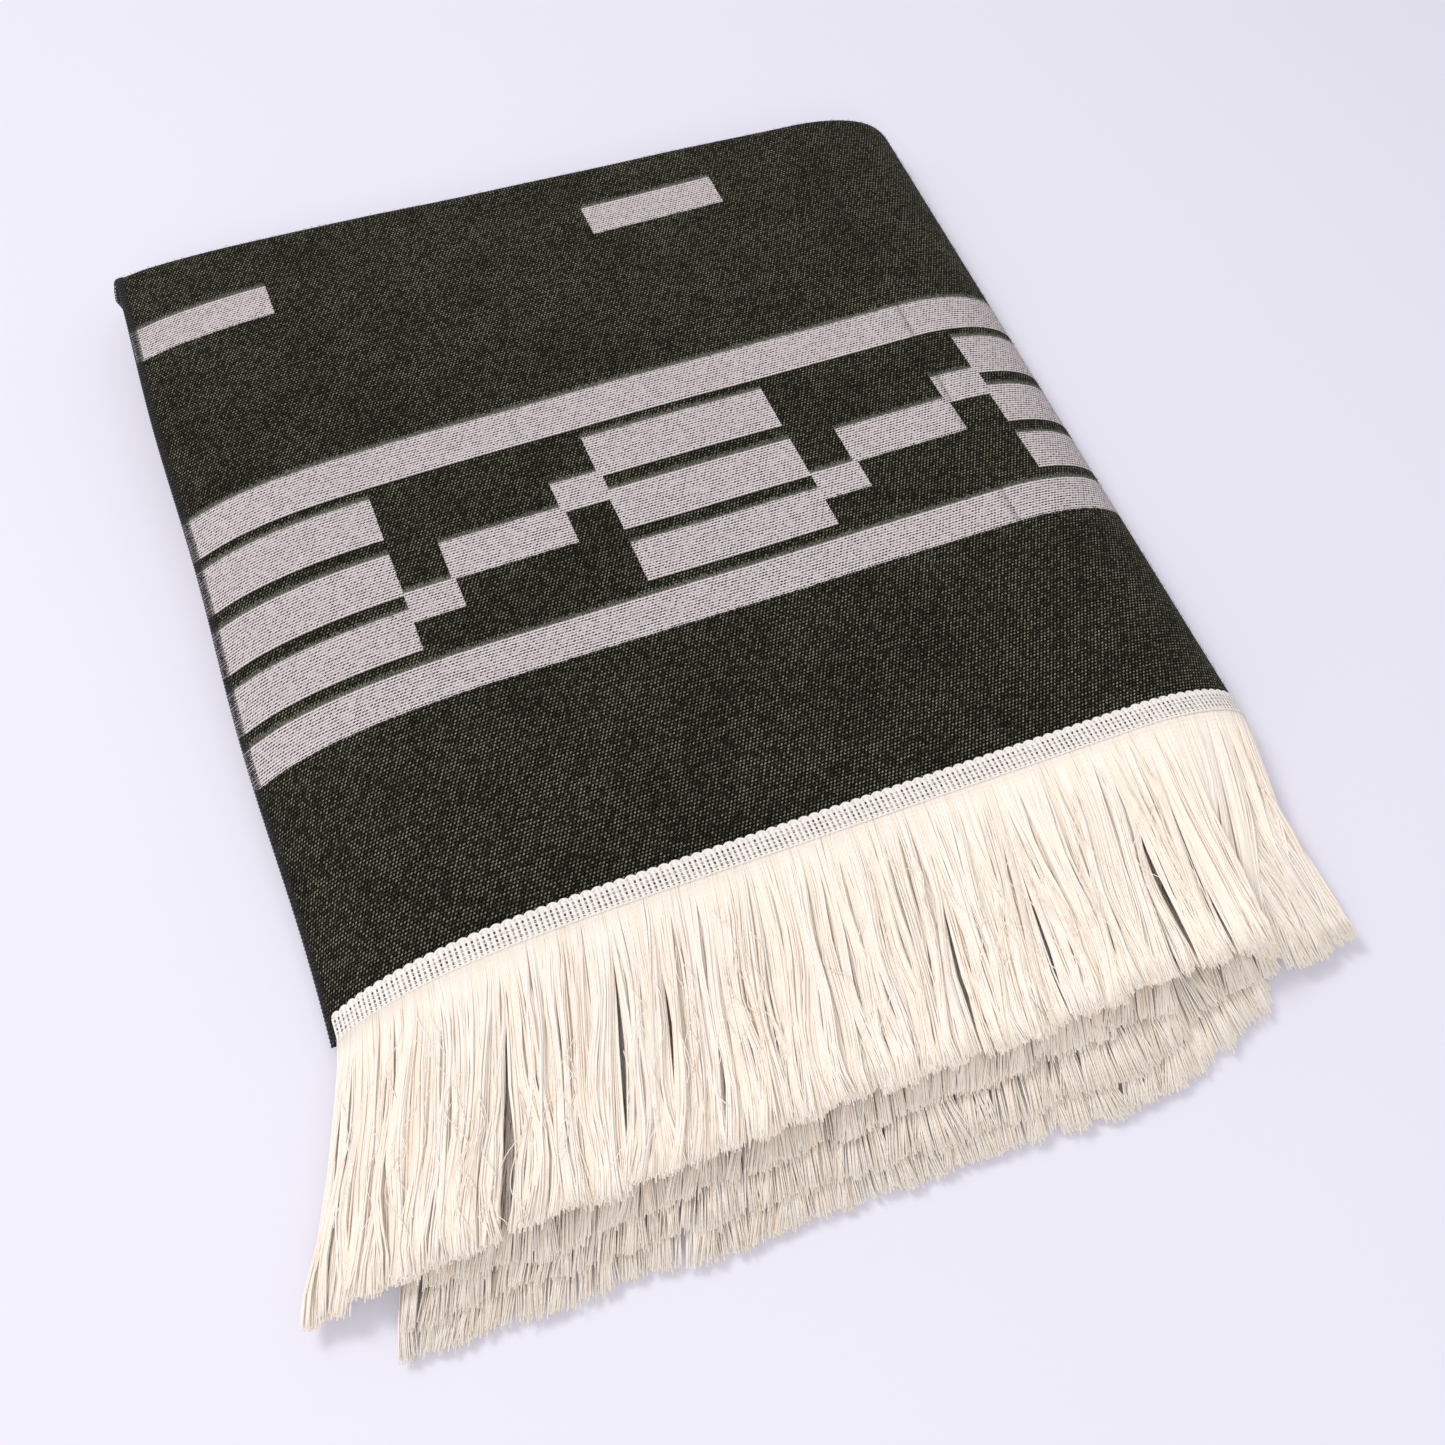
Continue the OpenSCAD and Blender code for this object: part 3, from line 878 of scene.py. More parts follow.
    def wraps(self) -> tuple[ClothPart, ClothPart]:
        """The outer wrap over the side fold and the inner fold inside it.

        The outer one follows two quarter ellipses, one above and one below the fold's waist. The inner one is
        a loop that swells on both sides of the middle before it turns.

        Returns:
            The outer and the inner part; they meet in the middle of the far lip.
        """
        stack = self.stack
        angle = np.linspace(0, np.pi, self.wrap_columns)
        sine, cosine = np.sin(angle)[:, None], np.cos(angle)[:, None]
        above = cosine >= 0
        half = stack.cloth / 2
        side_end = stack.side(stack.front + stack.depth / 2)
        x_end = side_end - np.where(above, stack.fold_width, stack.under)[:, 0] * (1 - sine[:, 0])
        ends = stack.far(x_end)
        progress = smooth(0.5, 1.0, angle / np.pi)
        base_end = self.front_of_base(np.array(stack.side(stack.front) - stack.under))
        front = stack.front + (base_end - stack.front) * progress
        y = self.depth_rows(ends, front)
        span = np.where(above, stack.fold_width, stack.under)
        rise = np.where(above, stack.height - stack.waist, stack.waist) - half
        x = stack.side(y) - span + (span - half) * sine
        lift = self.lifted(y, front[:, None]) * smooth(0.8, 1.0, angle / np.pi)[:, None]
        outer = stack_xyz(x, y, stack.waist + rise * cosine + lift)
        third_end = self.front_of_third(np.array(stack.side(stack.front) - stack.fold_width))
        inner_front = stack.second_front + (third_end - stack.second_front) * smooth(0, 1, angle / np.pi)
        inner_y = self.depth_rows(ends, inner_front)
        inner_x = stack.side(inner_y) - stack.fold_width + (stack.fold_width - stack.inner_inset) * sine
        swell = 2 * half + 2 * stack.clearance + self.swell * sine ** 2
        lift = self.lifted(inner_y, inner_front[:, None]) * (1 - smooth(0.0, 0.5, angle / np.pi))[:, None]
        inner = stack_xyz(inner_x, inner_y, stack.middle + swell / 2 * cosine + lift)
        points, v = self.folded(outer, inner, y, inner_y - inner_front[:, None] + stack.front)
        steps = np.linalg.norm(np.diff(outer, axis=0), axis=2)
        run = np.concatenate([np.zeros((1, y.shape[1])), np.cumsum(steps, axis=0)])
        base = self.across_place(stack.side(y[:1]) - stack.fold_width, y[:1])
        u = base + run
        middle = self.rows + self.lip_rows
        count = v.shape[1]
        u_all = np.concatenate([u, np.repeat(u[:, -1:], 2 * self.lip_rows - 1, axis=1), u[:, ::-1]], axis=1)
        uv = np.stack([u_all, v], axis=-1)
        thick = np.full(v.shape, stack.cloth)
        return (ClothPart(points[:, :middle], thick[:, :middle], uv[:, :middle]),
                ClothPart(points[:, middle - 1:count], thick[:, middle - 1:count], uv[:, middle - 1:count]))

    def lower(self, across_start: float) -> ClothPart:
        """Base layer, far lip and third layer, from the side fold to the open hems.

        Args:
            across_start: place across the cloth at which the side wrap ends.

        Returns:
            The part.
        """
        stack = self.stack
        count = self.columns * 2 // 3
        share = np.linspace(1, 0, count)
        side_middle = stack.side(stack.front + stack.depth / 2)
        ends = stack.far(stack.base_left + share * (side_middle - stack.under - stack.base_left))
        right = stack.side(stack.front) - stack.under
        front = self.front_of_base(stack.base_left + share * (right - stack.base_left))
        y = self.depth_rows(ends, front)
        x = stack.base_left + share[:, None] * (stack.side(y) - stack.under - stack.base_left)
        outer = stack_xyz(x, y, stack.cloth / 2 + self.lifted(y, front[:, None]))
        inner_right = stack.side(stack.front) - stack.fold_width
        inner_front = self.front_of_third(stack.third_left + share * (inner_right - stack.third_left))
        inner_y = self.depth_rows(ends, inner_front)
        inner_width = stack.side(inner_y) - stack.fold_width - stack.third_left
        inner_x = stack.third_left + share[:, None] * inner_width
        inner_z = stack.middle - stack.clearance - stack.cloth / 2
        inner = stack_xyz(inner_x, inner_y, np.full(inner_x.shape, inner_z))
        points, v = self.folded(outer, inner, y - front[:, None] + stack.front,
                                inner_y - inner_front[:, None] + stack.front)
        run = (x[:1] - x) + across_start
        u = np.concatenate([run, np.repeat(run[:, -1:], 2 * self.lip_rows - 1, axis=1), run[:, ::-1]], axis=1)
        hem_distance = share[:, None] * (right - stack.base_left)
        return ClothPart(points, self.thickness(hem_distance, v.shape), np.stack([u, v], axis=-1))


@dataclass
class Nap:
    """Raised fibres of the brushed cloth: short tapering hairs that lean and curl over."""

    length: float = 4.2 * MM
    radius: float = 0.11 * MM
    seed: int = 11

    def fibres(self, part: ClothPart, rows: slice, count: int) -> Patch:
        """Fibres scattered evenly over a stretch of the cloth's right side.

        A fibre starts at a random point of a face, leans away from the normal in a random direction and a
        little backwards, and bends over towards its tip.

        Args:
            part: the cloth that they stand on.
            rows: the grid's rows that carry them.
            count: how many there are.

        Returns:
            The fibres, each a thin three-sided needle.
        """
        rng = np.random.default_rng(self.seed)
        face, normals, uv = part.right_face[:, rows], part.normals[:, rows], part.uv[:, rows]
        span = np.cross(np.diff(face, axis=0)[:, :-1], np.diff(face, axis=1)[:-1])
        area = np.linalg.norm(span, axis=2).ravel()
        cell = rng.choice(len(area), count, p=area / area.sum())
        i, j = np.divmod(cell, face.shape[1] - 1)
        a, b = rng.random((2, count, 1))

        def between(grid: Array) -> Array:
            """Values inside the chosen cells, mixed from their four corners."""
            return ((1 - a) * (1 - b) * grid[i, j] + a * (1 - b) * grid[i + 1, j]
                    + (1 - a) * b * grid[i, j + 1] + a * b * grid[i + 1, j + 1])

        root, normal, places = between(face), unit(between(normals)), between(uv)
        lean = rng.normal(size=(count, 3)) + 0.5 * BACKWARDS
        lean = unit(lean - normal * np.sum(lean * normal, axis=1, keepdims=True))
        size = self.length * rng.uniform(0.35, 1.0, (count, 1)) ** 1.3
        up = rng.uniform(0.25, 1.0, (count, 1))
        along = np.array([0.0, 0.5, 1.0])[None, :, None]
        rise = up[:, None] * np.sin(along * np.pi * 0.62) * 0.62
        paths = root[:, None] + size[:, None] * (lean[:, None] * along ** 1.2 + normal[:, None] * rise)
        paths[:, 0] -= normal * 0.3 * MM
        taper = np.array([1.0, 0.75, 0.15]) * self.radius
        made = tubes(paths, taper, 3, np.cross(lean, normal)[:, None])
        corners = np.concatenate([f.ravel() for f in made.faces])
        made.uv = places[corners // (3 * len(taper))]
        return made


@dataclass(frozen=True)
class Tape:
    """The woven tape that carries the fringe, with picot loops along its upper edge."""

    height: float = 18.0 * MM
    thickness: float = 1.3 * MM
    column: float = 3.75 * MM
    row: float = 2.9 * MM
    scallop: float = 2.6 * MM
    solid_edge: float = 0.8 * MM
    groove: float = 0.55 * MM
    cord_radius: float = 0.95 * MM
    fine: float = 0.55 * MM
    plain: float = 1.87 * MM
    sunk: float = 0.3 * MM
    inset: float = 7.0 * MM

    def crest(self, q: Array) -> Array:
        """How far the scalloped upper edge stands out at length q: one bump over every two columns."""
        return self.scallop * np.abs(np.sin(np.pi * q / (2 * self.column))) ** 0.62

    def relief(self, q: Array, p: Array) -> Array:
        """Height of the weave over its own base.

        Upright cords are rounded across; a narrow groove lies between two of them, and level threads cross
        the groove between the rows.
        """
        across = np.abs(q / self.column % 1 - 0.5) * self.column
        window = smooth(0.42, 0.22, np.abs(p / self.row % 1 - 0.5))
        cord = 0.25 * MM * np.cos(np.pi * (q / self.column % 1)) ** 2
        return cord - self.groove * 1.6 * np.exp(-(across / (0.42 * MM)) ** 2) * window

    def strip(self, rail: Rail, start: float, end: float, step: float) -> Patch:
        """The tape along a stretch of rail, with its picot cord.

        Args:
            rail: edge of the cloth's right side.
            start: length along the rail at which the strip starts.
            end: length at which it ends.
            step: spacing of the grid along the rail.

        Returns:
            The woven strip and the cord along its upper edge.
        """
        q = np.linspace(start, end, max(2, round((end - start) / step)))
        share = np.linspace(0, 1, max(8, round(self.height / step)))
        point, heading, normal = rail.at(q)
        body = self.height - self.scallop
        p = share[None, :] * (body + self.crest(q)[:, None])
        lift = self.thickness - self.sunk + self.relief(q[:, None], p) * smooth(1.0, 0.96, share)[None]
        base = point[:, None] + p[..., None] * BACKWARDS
        top = base + lift[..., None] * normal[:, None]
        bottom = base - self.sunk * normal[:, None]
        uv = np.stack(np.broadcast_arrays(q[:, None], p), axis=-1)
        flip = float(np.sum(np.cross(heading, BACKWARDS) * normal)) < 0
        return Patch.joined([closed_sheet(top, bottom, uv, flip), self.cord(rail, start, end)])

    def cord(self, rail: Rail, start: float, end: float) -> Patch:
        """The picot cord: a round cord that follows the scallops."""
        q = np.arange(start + self.cord_radius, end - self.cord_radius, self.column / 7)
        point, _, normal = rail.at(q)
        away = self.height - self.scallop + self.crest(q)
        path = point + away[:, None] * BACKWARDS + normal * (self.thickness * 0.55)
        made = tubes(path[None], self.cord_radius, 6, BACKWARDS + 0.01)
        made.uv = made.uv * np.array([0.0004, 1.0]) + np.array([0.0, 1.0])
        return made

    def stitches(self, rail: Rail, start: float, end: float, away: float) -> Patch:
        """One sewn row: short raised stitches with their ends drawn into the tape.

        Args:
            rail: edge of the cloth's right side.
            start: length along the rail at which the row starts.
            end: length at which it ends.
            away: distance of the row from the front edge.

        Returns:
            The stitches.
        """
        pitch, length, radius = 3.4 * MM, 2.9 * MM, 0.26 * MM
        count = int((end - start) / pitch) - 1
        t = np.linspace(0, 1, 5)
        q = start + pitch * (np.arange(count)[:, None] + 0.5) + length * (t - 0.5)
        point, _, normal = rail.at(q)
        arch = self.thickness - self.sunk + 0.25 * MM - 0.75 * MM * (2 * t - 1) ** 4
        paths = point + away * BACKWARDS + normal * arch[None, :, None]
        return tubes(paths, radius, 4, BACKWARDS)


@dataclass
class Overlock:
    """Black overlock thread round a hem: three coils of both slants and two edge threads."""

    width: float = 8.0 * MM
    pitch: float = 3.1 * MM
    thread: float = 0.34 * MM
    steps: int = 8

    def seam(self, part: ClothPart, column: int, rows: slice) -> Patch:
        """The thread along one stretch of a hem.

        A coil's section is a flat rounded loop round the edge of the cloth: its width lies in the cloth and
        its height is the cloth's thickness.

        Args:
            part: the cloth.
            column: the grid's column at the hem, 0 or -1.
            rows: the rows along which the seam runs.

        Returns:
            The threads.
        """
        inward = 1 if column == 0 else -1
        edge = part.middle[column, rows]
        inner = part.middle[column + 2 * inward, rows]
        normal = part.normals[column, rows]
        thick = part.thickness[column, rows]
        run = np.concatenate(([0.0], np.cumsum(np.linalg.norm(np.diff(edge, axis=0), axis=1))))
        place = np.arange(0, run[-1], self.pitch / self.steps)

        def mixed(values: Array) -> Array:
            """Values along the hem at the thread's own spacing."""
            return np.stack([np.interp(place, run, values[:, k]) for k in range(values.shape[1])], axis=-1)

        middle, n, t = mixed(edge), unit(mixed(normal)), mixed(thick[:, None])
        out = unit(mixed(edge - inner))
        paths = []
        for turn, phase in ((1, 0.0), (-1, 0.9), (1, 3.3)):
            angle = turn * 2 * np.pi * place / self.pitch + phase
            side = np.sign(np.sin(angle)) * np.abs(np.sin(angle)) ** 0.45
            reach = (np.cos(angle) - 1) / 2 * self.width + 0.9 * MM
            paths.append(middle + out * reach[:, None] + n * (side[:, None] * (t / 2 + 0.45 * MM)))
        for shift in (-0.35, 0.35):
            weave = np.sin(2 * np.pi * place / self.pitch + shift) * 0.5 * MM
            paths.append(middle + out * (1.1 * MM + 0.3 * weave[:, None]) + n * (weave[:, None] + shift * MM))
        along = unit(np.gradient(middle, axis=0))
        return tubes(np.stack(paths), self.thread, 3, along[None] + 1e-3)


@dataclass
class Fringe:
    """One tier of cut fringe: yarns that leave a rail, gather into locks and lie down towards the front.

    The fan is how far the tips drift to the left, and drawn is what comes on top of it at the right end.
    Round the side fold, from the length wrap_from on, the tips are drawn in. A share of the yarns is free: they
    lie under the locks and hardly gather. The first yarns are shorter by the share short_start.
    """

    length: float = 0.163
    fan: float = 0.058
    drawn_in: float = 0.036
    free_share: float = 0.45
    short_start: float = 0.0
    yarn: float = 0.62 * MM
    rings: int = 11
    sides: int = 4
    lock: float = 17.0 * MM
    strand_lock: float = 5.5 * MM
    tip_height: float = 0.034
    thickness: float = 3.4 * MM
    drawn: float = 0.0
    wrap_from: float = math.inf
    wrap_length: float = 90.0 * MM
    seed: int = 1

    def lock_edges(self, rng: np.random.Generator, start: float, end: float, size: float) -> Array:
        """Borders between locks whose widths vary about a size."""
        count = int((end - start) / size * 1.6) + 4
        edges = start + np.cumsum(size * rng.uniform(0.3, 1.7, count))
        return np.concatenate(([start], edges[edges < end - 0.5 * size], [end]))

    def resting(self, stack: Stack, root: Array, beyond: Array) -> Array:
        """Height at which a yarn's tip comes to rest.

        Args:
            stack: the folded stack.
            root: the yarns' roots.
            beyond: how far round the side fold the roots lie, from 0 to 1.

        Returns:
            Tip heights: the tier's own height, less under the drape and outside the side fold.
        """
        raised = np.clip((root[:, 2] - stack.height + stack.drop) / stack.drop, 0.06, 1)
        level = 6 * MM + (self.tip_height - 6 * MM) * raised ** 0.8
        return level + (9 * MM - level) * smooth(0.15, 0.8, beyond)

    def yarns(self, stack: Stack, rail: Rail, start: float, end: float, count: int) -> Patch:
        """The yarns of one stretch of rail.

        Each yarn starts in the tape, drifts to the left by the fan, closes up towards the middle of its lock
        and of its small inner lock, sways with the lock, sinks as a power of the length left, and splays at
        its cut end.

        Args:
            stack: the folded stack.
            rail: edge of the cloth's right side.
            start: length along the rail at which the stretch starts.
            end: length at which it ends.
            count: number of yarns.

        Returns:
            The yarns.
        """
        rng = np.random.default_rng(self.seed)
        edges = self.lock_edges(rng, start, end, self.lock)
        small = self.lock_edges(rng, start, end, self.strand_lock)
        place = np.sort(rng.uniform(start, end, count))
        big_of = np.clip(np.searchsorted(edges, place) - 1, 0, len(edges) - 2)
        small_of = np.clip(np.searchsorted(small, place) - 1, 0, len(small) - 2)
        middle = (edges[:-1] + edges[1:])[big_of] / 2
        small_middle = (small[:-1] + small[1:])[small_of] / 2
        half = (edges[1:] - edges[:-1])[big_of] / 2

        def per_lock(draw: Array) -> Array:
            """One random value for each lock, given to its yarns."""
            return draw[big_of]

        def per_small(draw: Array) -> Array:
            """One random value for each small lock, given to its yarns."""
            return draw[small_of]

        locks, smalls = len(edges) - 1, len(small) - 1
        close = per_lock(rng.uniform(0.02, 0.24, locks))
        close_small = per_small(rng.uniform(0.05, 0.5, smalls))
        shift = per_lock(rng.normal(0, 5.5 * MM, locks)) + per_small(rng.normal(0, 2.4 * MM, smalls))
        shift = shift * smooth(0.0, 0.012, place - start) * smooth(0.0, 0.012, end - place)
        sway = per_lock(rng.uniform(0.8, 7.5, locks) * MM)
        small_sway = per_small(rng.uniform(0.3, 3.4, smalls) * MM)
        phase, small_phase = per_lock(rng.uniform(0, 6.3, locks)), per_small(rng.uniform(0, 6.3, smalls))
        lift = per_lock(rng.uniform(0, 1, locks)) + 0.5 * per_small(rng.uniform(0, 1, smalls))
        cut = per_lock(rng.normal(0, 0.010, locks)) + per_small(rng.normal(0, 0.006, smalls))
        cut = cut + rng.normal(0, 0.010, count)
        depth = rng.uniform(-1, 1, count)
        free = rng.random(count) < self.free_share
        depth = np.where(free, -np.abs(depth), np.abs(depth))
        bound = np.where(free, 0.12, 1.0)[:, None]
        splay = rng.normal(0, 1.0 * MM, (count, 2))

        point, heading, normal = rail.at(place)
        share = (place - start) / (end - start)
        beyond = np.clip((place - self.wrap_from) / self.wrap_length, 0, 1)
        fan = self.fan * (stack.left + stack.width - point[:, 0]) / stack.width
        drift = -(fan + self.drawn * share ** 2.5) + shift * bound[:, 0] * (1 - 0.5 * beyond)
        drift = drift - self.drawn_in * smooth(0.0, 0.6, beyond)
        tip_z = self.resting(stack, point, beyond)
        root = point + 1.6 * MM * BACKWARDS + normal * (0.35 * MM + 0.35 * MM * depth[:, None])

        t = np.linspace(0, 1, self.rings)[None, :]
        gathered = smooth(0.02, 0.62, t) - 0.42 * smooth(0.62, 1.0, t)
        lateral = (place - middle)[:, None] * close[:, None] * gathered * bound
        inner = (place - small_middle)[:, None] * close_small[:, None] * smooth(0.0, 0.45, t)
        lateral = lateral + inner * bound
        waves = sway[:, None] * (np.sin(5.0 * t + phase[:, None]) - np.sin(phase[:, None])) * t
        waves = waves + small_sway[:, None] * (np.sin(11.0 * t + small_phase[:, None])
                                               - np.sin(small_phase[:, None])) * t ** 0.7
        waves = waves * (0.3 + 0.7 * bound)
        own = np.cumsum(rng.normal(0, 0.30 * MM, (count, self.rings)), axis=1) * smooth(0, 0.2, t)
        x = drift[:, None] * t ** 1.2 + waves + own + splay[:, :1] * smooth(0.7, 1.0, t) * 1.4
        shorter = 1 - self.short_start * (1 - smooth(0.0, 0.14, share))
        reach = self.length * ((1 + cut) * shorter)[:, None] * t
        swell = 0.25 + 0.75 * smooth(0.0, 0.35, t) * (1 - 0.25 * smooth(0.75, 1.0, t))
        round_off = np.sqrt(np.clip(1 - ((place - middle) / half) ** 2, 0.08, 1))
        pile = self.thickness * depth[:, None] * round_off[:, None] * swell
        pile = pile + (lift[:, None] - 0.75) * 2.6 * MM * np.sin(np.pi * np.clip(t * 0.92, 0, 1))
        fall = (tip_z - root[:, 2])[:, None] * (1 - (1 - t) ** 1.7)
        z = root[:, 2:3] + fall + pile * smooth(0.0, 0.12, t) + splay[:, 1:] * smooth(0.8, 1.0, t) * 0.6
        paths = root[:, None] - heading[:, None] * lateral[..., None]
        paths = paths + stack_xyz(x, -reach, np.zeros_like(x))
        paths[..., 2] = np.maximum(z - heading[:, None, 2] * lateral, 0.9 * MM)
        thin = self.yarn * rng.uniform(0.8, 1.15, (count, 1)) * (1 - 0.25 * smooth(0.9, 1.0, t))
        numbers = np.floor(rng.uniform(0, 4000, count))
        return tubes(paths, thin, self.sides, np.array([0.0, 0.0, 1.0]), numbers)


@dataclass
class LooseThreads:
    """Thin single threads that curl over the top tier."""

    count: int = 70
    thread: float = 0.30 * MM
    rings: int = 34
    seed: int = 77

    def threads(self, stack: Stack, fringe: Fringe, rail: Rail, end: float) -> Patch:
        """Curly threads: each drifts with the fringe while a few slow sines carry it sideways and up.

        Args:
            stack: the folded stack.
            fringe: the tier that they lie on.
            rail: edge of the cloth's right side.
            end: length along the rail up to which they start.

        Returns:
            The threads.
        """
        rng = np.random.default_rng(self.seed)
        place = rng.uniform(0.02, end, self.count)
        point, _, _ = rail.at(place)
        t = np.linspace(0, 1, self.rings)[None, :]
        begin = rng.uniform(0.1, 0.55, (self.count, 1))
        long = rng.uniform(0.25, 0.5, (self.count, 1))
        down = begin + long * t
        fan = fringe.fan * (stack.left + stack.width - point[:, 0]) / stack.width
        wave = np.zeros((self.count, self.rings))
        for speed, size in ((4.0, 9.0), (9.0, 4.5), (17.0, 1.6)):
            turn = rng.uniform(0, 6.3, (self.count, 1))
            own = size * MM * rng.uniform(0.2, 1.0, (self.count, 1))
            wave += own * (np.sin(speed * t + turn) - np.sin(turn))
        hop = rng.uniform(0, 6.3, (self.count, 1))
        x = point[:, :1] - fan[:, None] * down ** 1.2 + wave
        y = point[:, 1:2] - fringe.length * down + 0.4 * wave * np.cos(6 * t + hop)
        tip = fringe.resting(stack, point, np.zeros(self.count))[:, None]
        z = point[:, 2:] + (tip - point[:, 2:]) * (1 - (1 - down) ** 1.7)
        z = z + fringe.thickness + (1.8 + 1.0 * np.sin(7 * t + hop)) * MM
        return tubes(stack_xyz(x, y, z), self.thread, 4, np.array([0.05, 0.02, 1.0]))


# --------------------------------------------------------------------------------------------------
# The throw
# --------------------------------------------------------------------------------------------------

@dataclass(frozen=True)
class Bend:
    """Two heights, low and high, given for a piece that crosses the side fold."""

    low: float
    high: float


WRAP_BEND = Bend(2.0 * MM, 58.0 * MM)
FOLD_BEND = Bend(29.8 * MM, 30.2 * MM)
FOLD_TAPE_BEND = Bend(30.9 * MM, 31.3 * MM)
PartEdge = tuple[ClothPart, int]


@dataclass
class Throw:
    """The whole folded throw: makes every piece and ties each that rides on a leaf to its body."""

    stack: Stack = field(default_factory=Stack)
    weave: Jacquard = field(default_factory=Jacquard)
    tape: Tape = field(default_factory=Tape)
    overlock: Overlock = field(default_factory=Overlock)
    nap: Nap = field(default_factory=Nap)
    hidden_steps: int = 5
    sewn_rows: tuple[float, float] = (4.2 * MM, 10.0 * MM)

    def __post_init__(self) -> None:
        """Makes the finishes and the four parts of the cloth, and the rails that the trims follow."""
        self.cloth = Cloth(self.stack, self.weave)
        self.finishes = {
            "cloth": self.weave.cloth(),
            "nap": self.weave.nap(),
            "tape": TapeWeave().material(self.tape),
            "fringe": Yarn("fringe_yarn", (0.955, 0.89, 0.81), (0.91, 0.79, 0.64)).material(),
            "sewing": Yarn("sewing_thread", (0.80, 0.62, 0.55), (0.66, 0.48, 0.42), 1.2 * MM).material(),
            "overlock": Yarn("overlock_thread", (0.014, 0.015, 0.014), (0.004, 0.004, 0.004), 1.0 * MM,
                             roughness=0.55, sheen=0.2).material(),
        }
        self.upper = self.cloth.upper()
        self.wrap, self.fold = self.cloth.wraps()
        self.lower = self.cloth.lower(float(self.wrap.uv[-1, 0, 0]))
        self.match_borders()
        outer = ((self.upper, 0), (self.wrap, 0), (self.lower, 0))
        inner = ((self.upper, -1), (self.fold, -1), (self.lower, -1))
        self.outer_rail, self.outer_marks = self.rail(outer), self.marks(outer)
        self.inner_rail, self.inner_marks = self.rail(inner), self.marks(inner)

    @staticmethod
    def rail(edges: Sequence[PartEdge]) -> Rail:
        """The rail along one front edge of several parts, on the cloth's right side."""
        points = np.concatenate([p.right_face[1 if k else 0:, row] for k, (p, row) in enumerate(edges)])
        normals = np.concatenate([p.normals[1 if k else 0:, row] for k, (p, row) in enumerate(edges)])
        return Rail(points, normals)

    @staticmethod
    def marks(edges: Sequence[PartEdge]) -> list[float]:
        """Lengths along a rail at which its parts start and end."""
        steps = [np.diff(part.right_face[:, row], axis=0) for part, row in edges]
        return [0.0, *np.cumsum([float(np.sum(np.linalg.norm(step, axis=1))) for step in steps])]

    def match_borders(self) -> None:
        """Gives the cloth's parts the same normals where they meet, so that no seam shows between them."""
        middle = self.cloth.rows + self.cloth.lip_rows
        for leaf, column, at in ((self.upper, -1, 0), (self.lower, 0, -1)):
            for part, rows in ((self.wrap, slice(0, middle)), (self.fold, slice(middle - 1, None))):
                shared = unit(leaf.normals[column, rows] + part.normals[at])
                leaf.normals[column, rows] = shared
                part.normals[at] = shared

    def put(self, patch: Patch, name: str, carrier: Leaf | Bend, slot: str, *nodes: str,
            finish: str | None = None) -> bpy.types.Object:
        """Makes a piece and ties it to the leaf that carries it; a piece that crosses the side fold is left in
        place.

        Args:
            patch: its surface.
            name: its name.
            carrier: the leaf that it rides on, or a Bend for a piece that crosses the side fold.
            slot: key of its finish, where finish is not given.
            nodes: the frame's nodes that it stands for.
            finish: name of its finish, where that isn't the slot's own.

        Returns:
            The piece.
        """
        piece = patch.make(name, self.finishes[finish or slot])
        if isinstance(carrier, Leaf):
            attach(piece, carrier.value)
        else:
            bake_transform(piece)
        if nodes:
            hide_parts(*nodes)
        return piece

    def build_cloth(self) -> None:
        """Makes the cloth's four pieces."""
        upper = self.put(self.upper.patch(), "cloth_upper_leaf", Leaf.UPPER, "cloth",
                         "top_panel", "second_panel", "far_fold_upper")
        lower = self.put(self.lower.patch(), "cloth_lower_leaf", Leaf.LOWER, "cloth",
                         "third_panel", "base_panel", "far_fold_lower")
        wrap = self.put(self.wrap.patch(), "cloth_side_wrap", WRAP_BEND, "cloth",
                        "side_wrap_upper", "side_wrap_lower", "far_corner_upper", "far_corner_lower")
        fold = self.put(self.fold.patch(), "cloth_inner_fold", FOLD_BEND, "cloth",
                        "inner_fold_upper", "inner_fold_lower")
        wrap_flat = (float(self.wrap.uv[-1, 0, 0] - self.wrap.uv[0, 0, 0]), self.stack.depth)

    def build_nap(self) -> None:
        """Makes the raised fibres on what shows of the cloth."""
        rows, lip = self.cloth.rows, self.cloth.lip_rows
        back = slice(rows - 12, rows + 2 * lip)
        for name, seed, part, stretch, count, carrier in (
            ("upper_leaf", 11, self.upper, slice(5, rows + lip), 11000, Leaf.UPPER),
            ("far_fold", 12, self.upper, back, 3500, Leaf.UPPER),
            ("side_wrap", 13, self.wrap, slice(5, None), 6500, WRAP_BEND),
            ("lower_leaf", 14, self.lower, back, 1500, Leaf.LOWER),
        ):
            fibres = replace(self.nap, seed=seed).fibres(part, stretch, count)
            self.put(fibres, f"nap_{name}", carrier, "cloth", finish="nap")

    def build_hems(self) -> None:
        """Makes the overlocked hems of the four layers; the three that hardly show have fewer steps."""
        half = self.cloth.rows + self.cloth.lip_rows
        hidden = replace(self.overlock, steps=self.hidden_steps)
        for name, thread, part, column, leaf, rows in (
            ("top", self.overlock, self.upper, 0, Leaf.UPPER, slice(0, half)),
            ("second", hidden, self.upper, 0, Leaf.UPPER, slice(half - 1, None)),
            ("third", hidden, self.lower, -1, Leaf.LOWER, slice(half - 1, None)),
            ("base", hidden, self.lower, -1, Leaf.LOWER, slice(0, half)),
        ):
            self.put(thread.seam(part, column, rows), f"overlock_{name}", leaf, "overlock", f"hem_{name}")

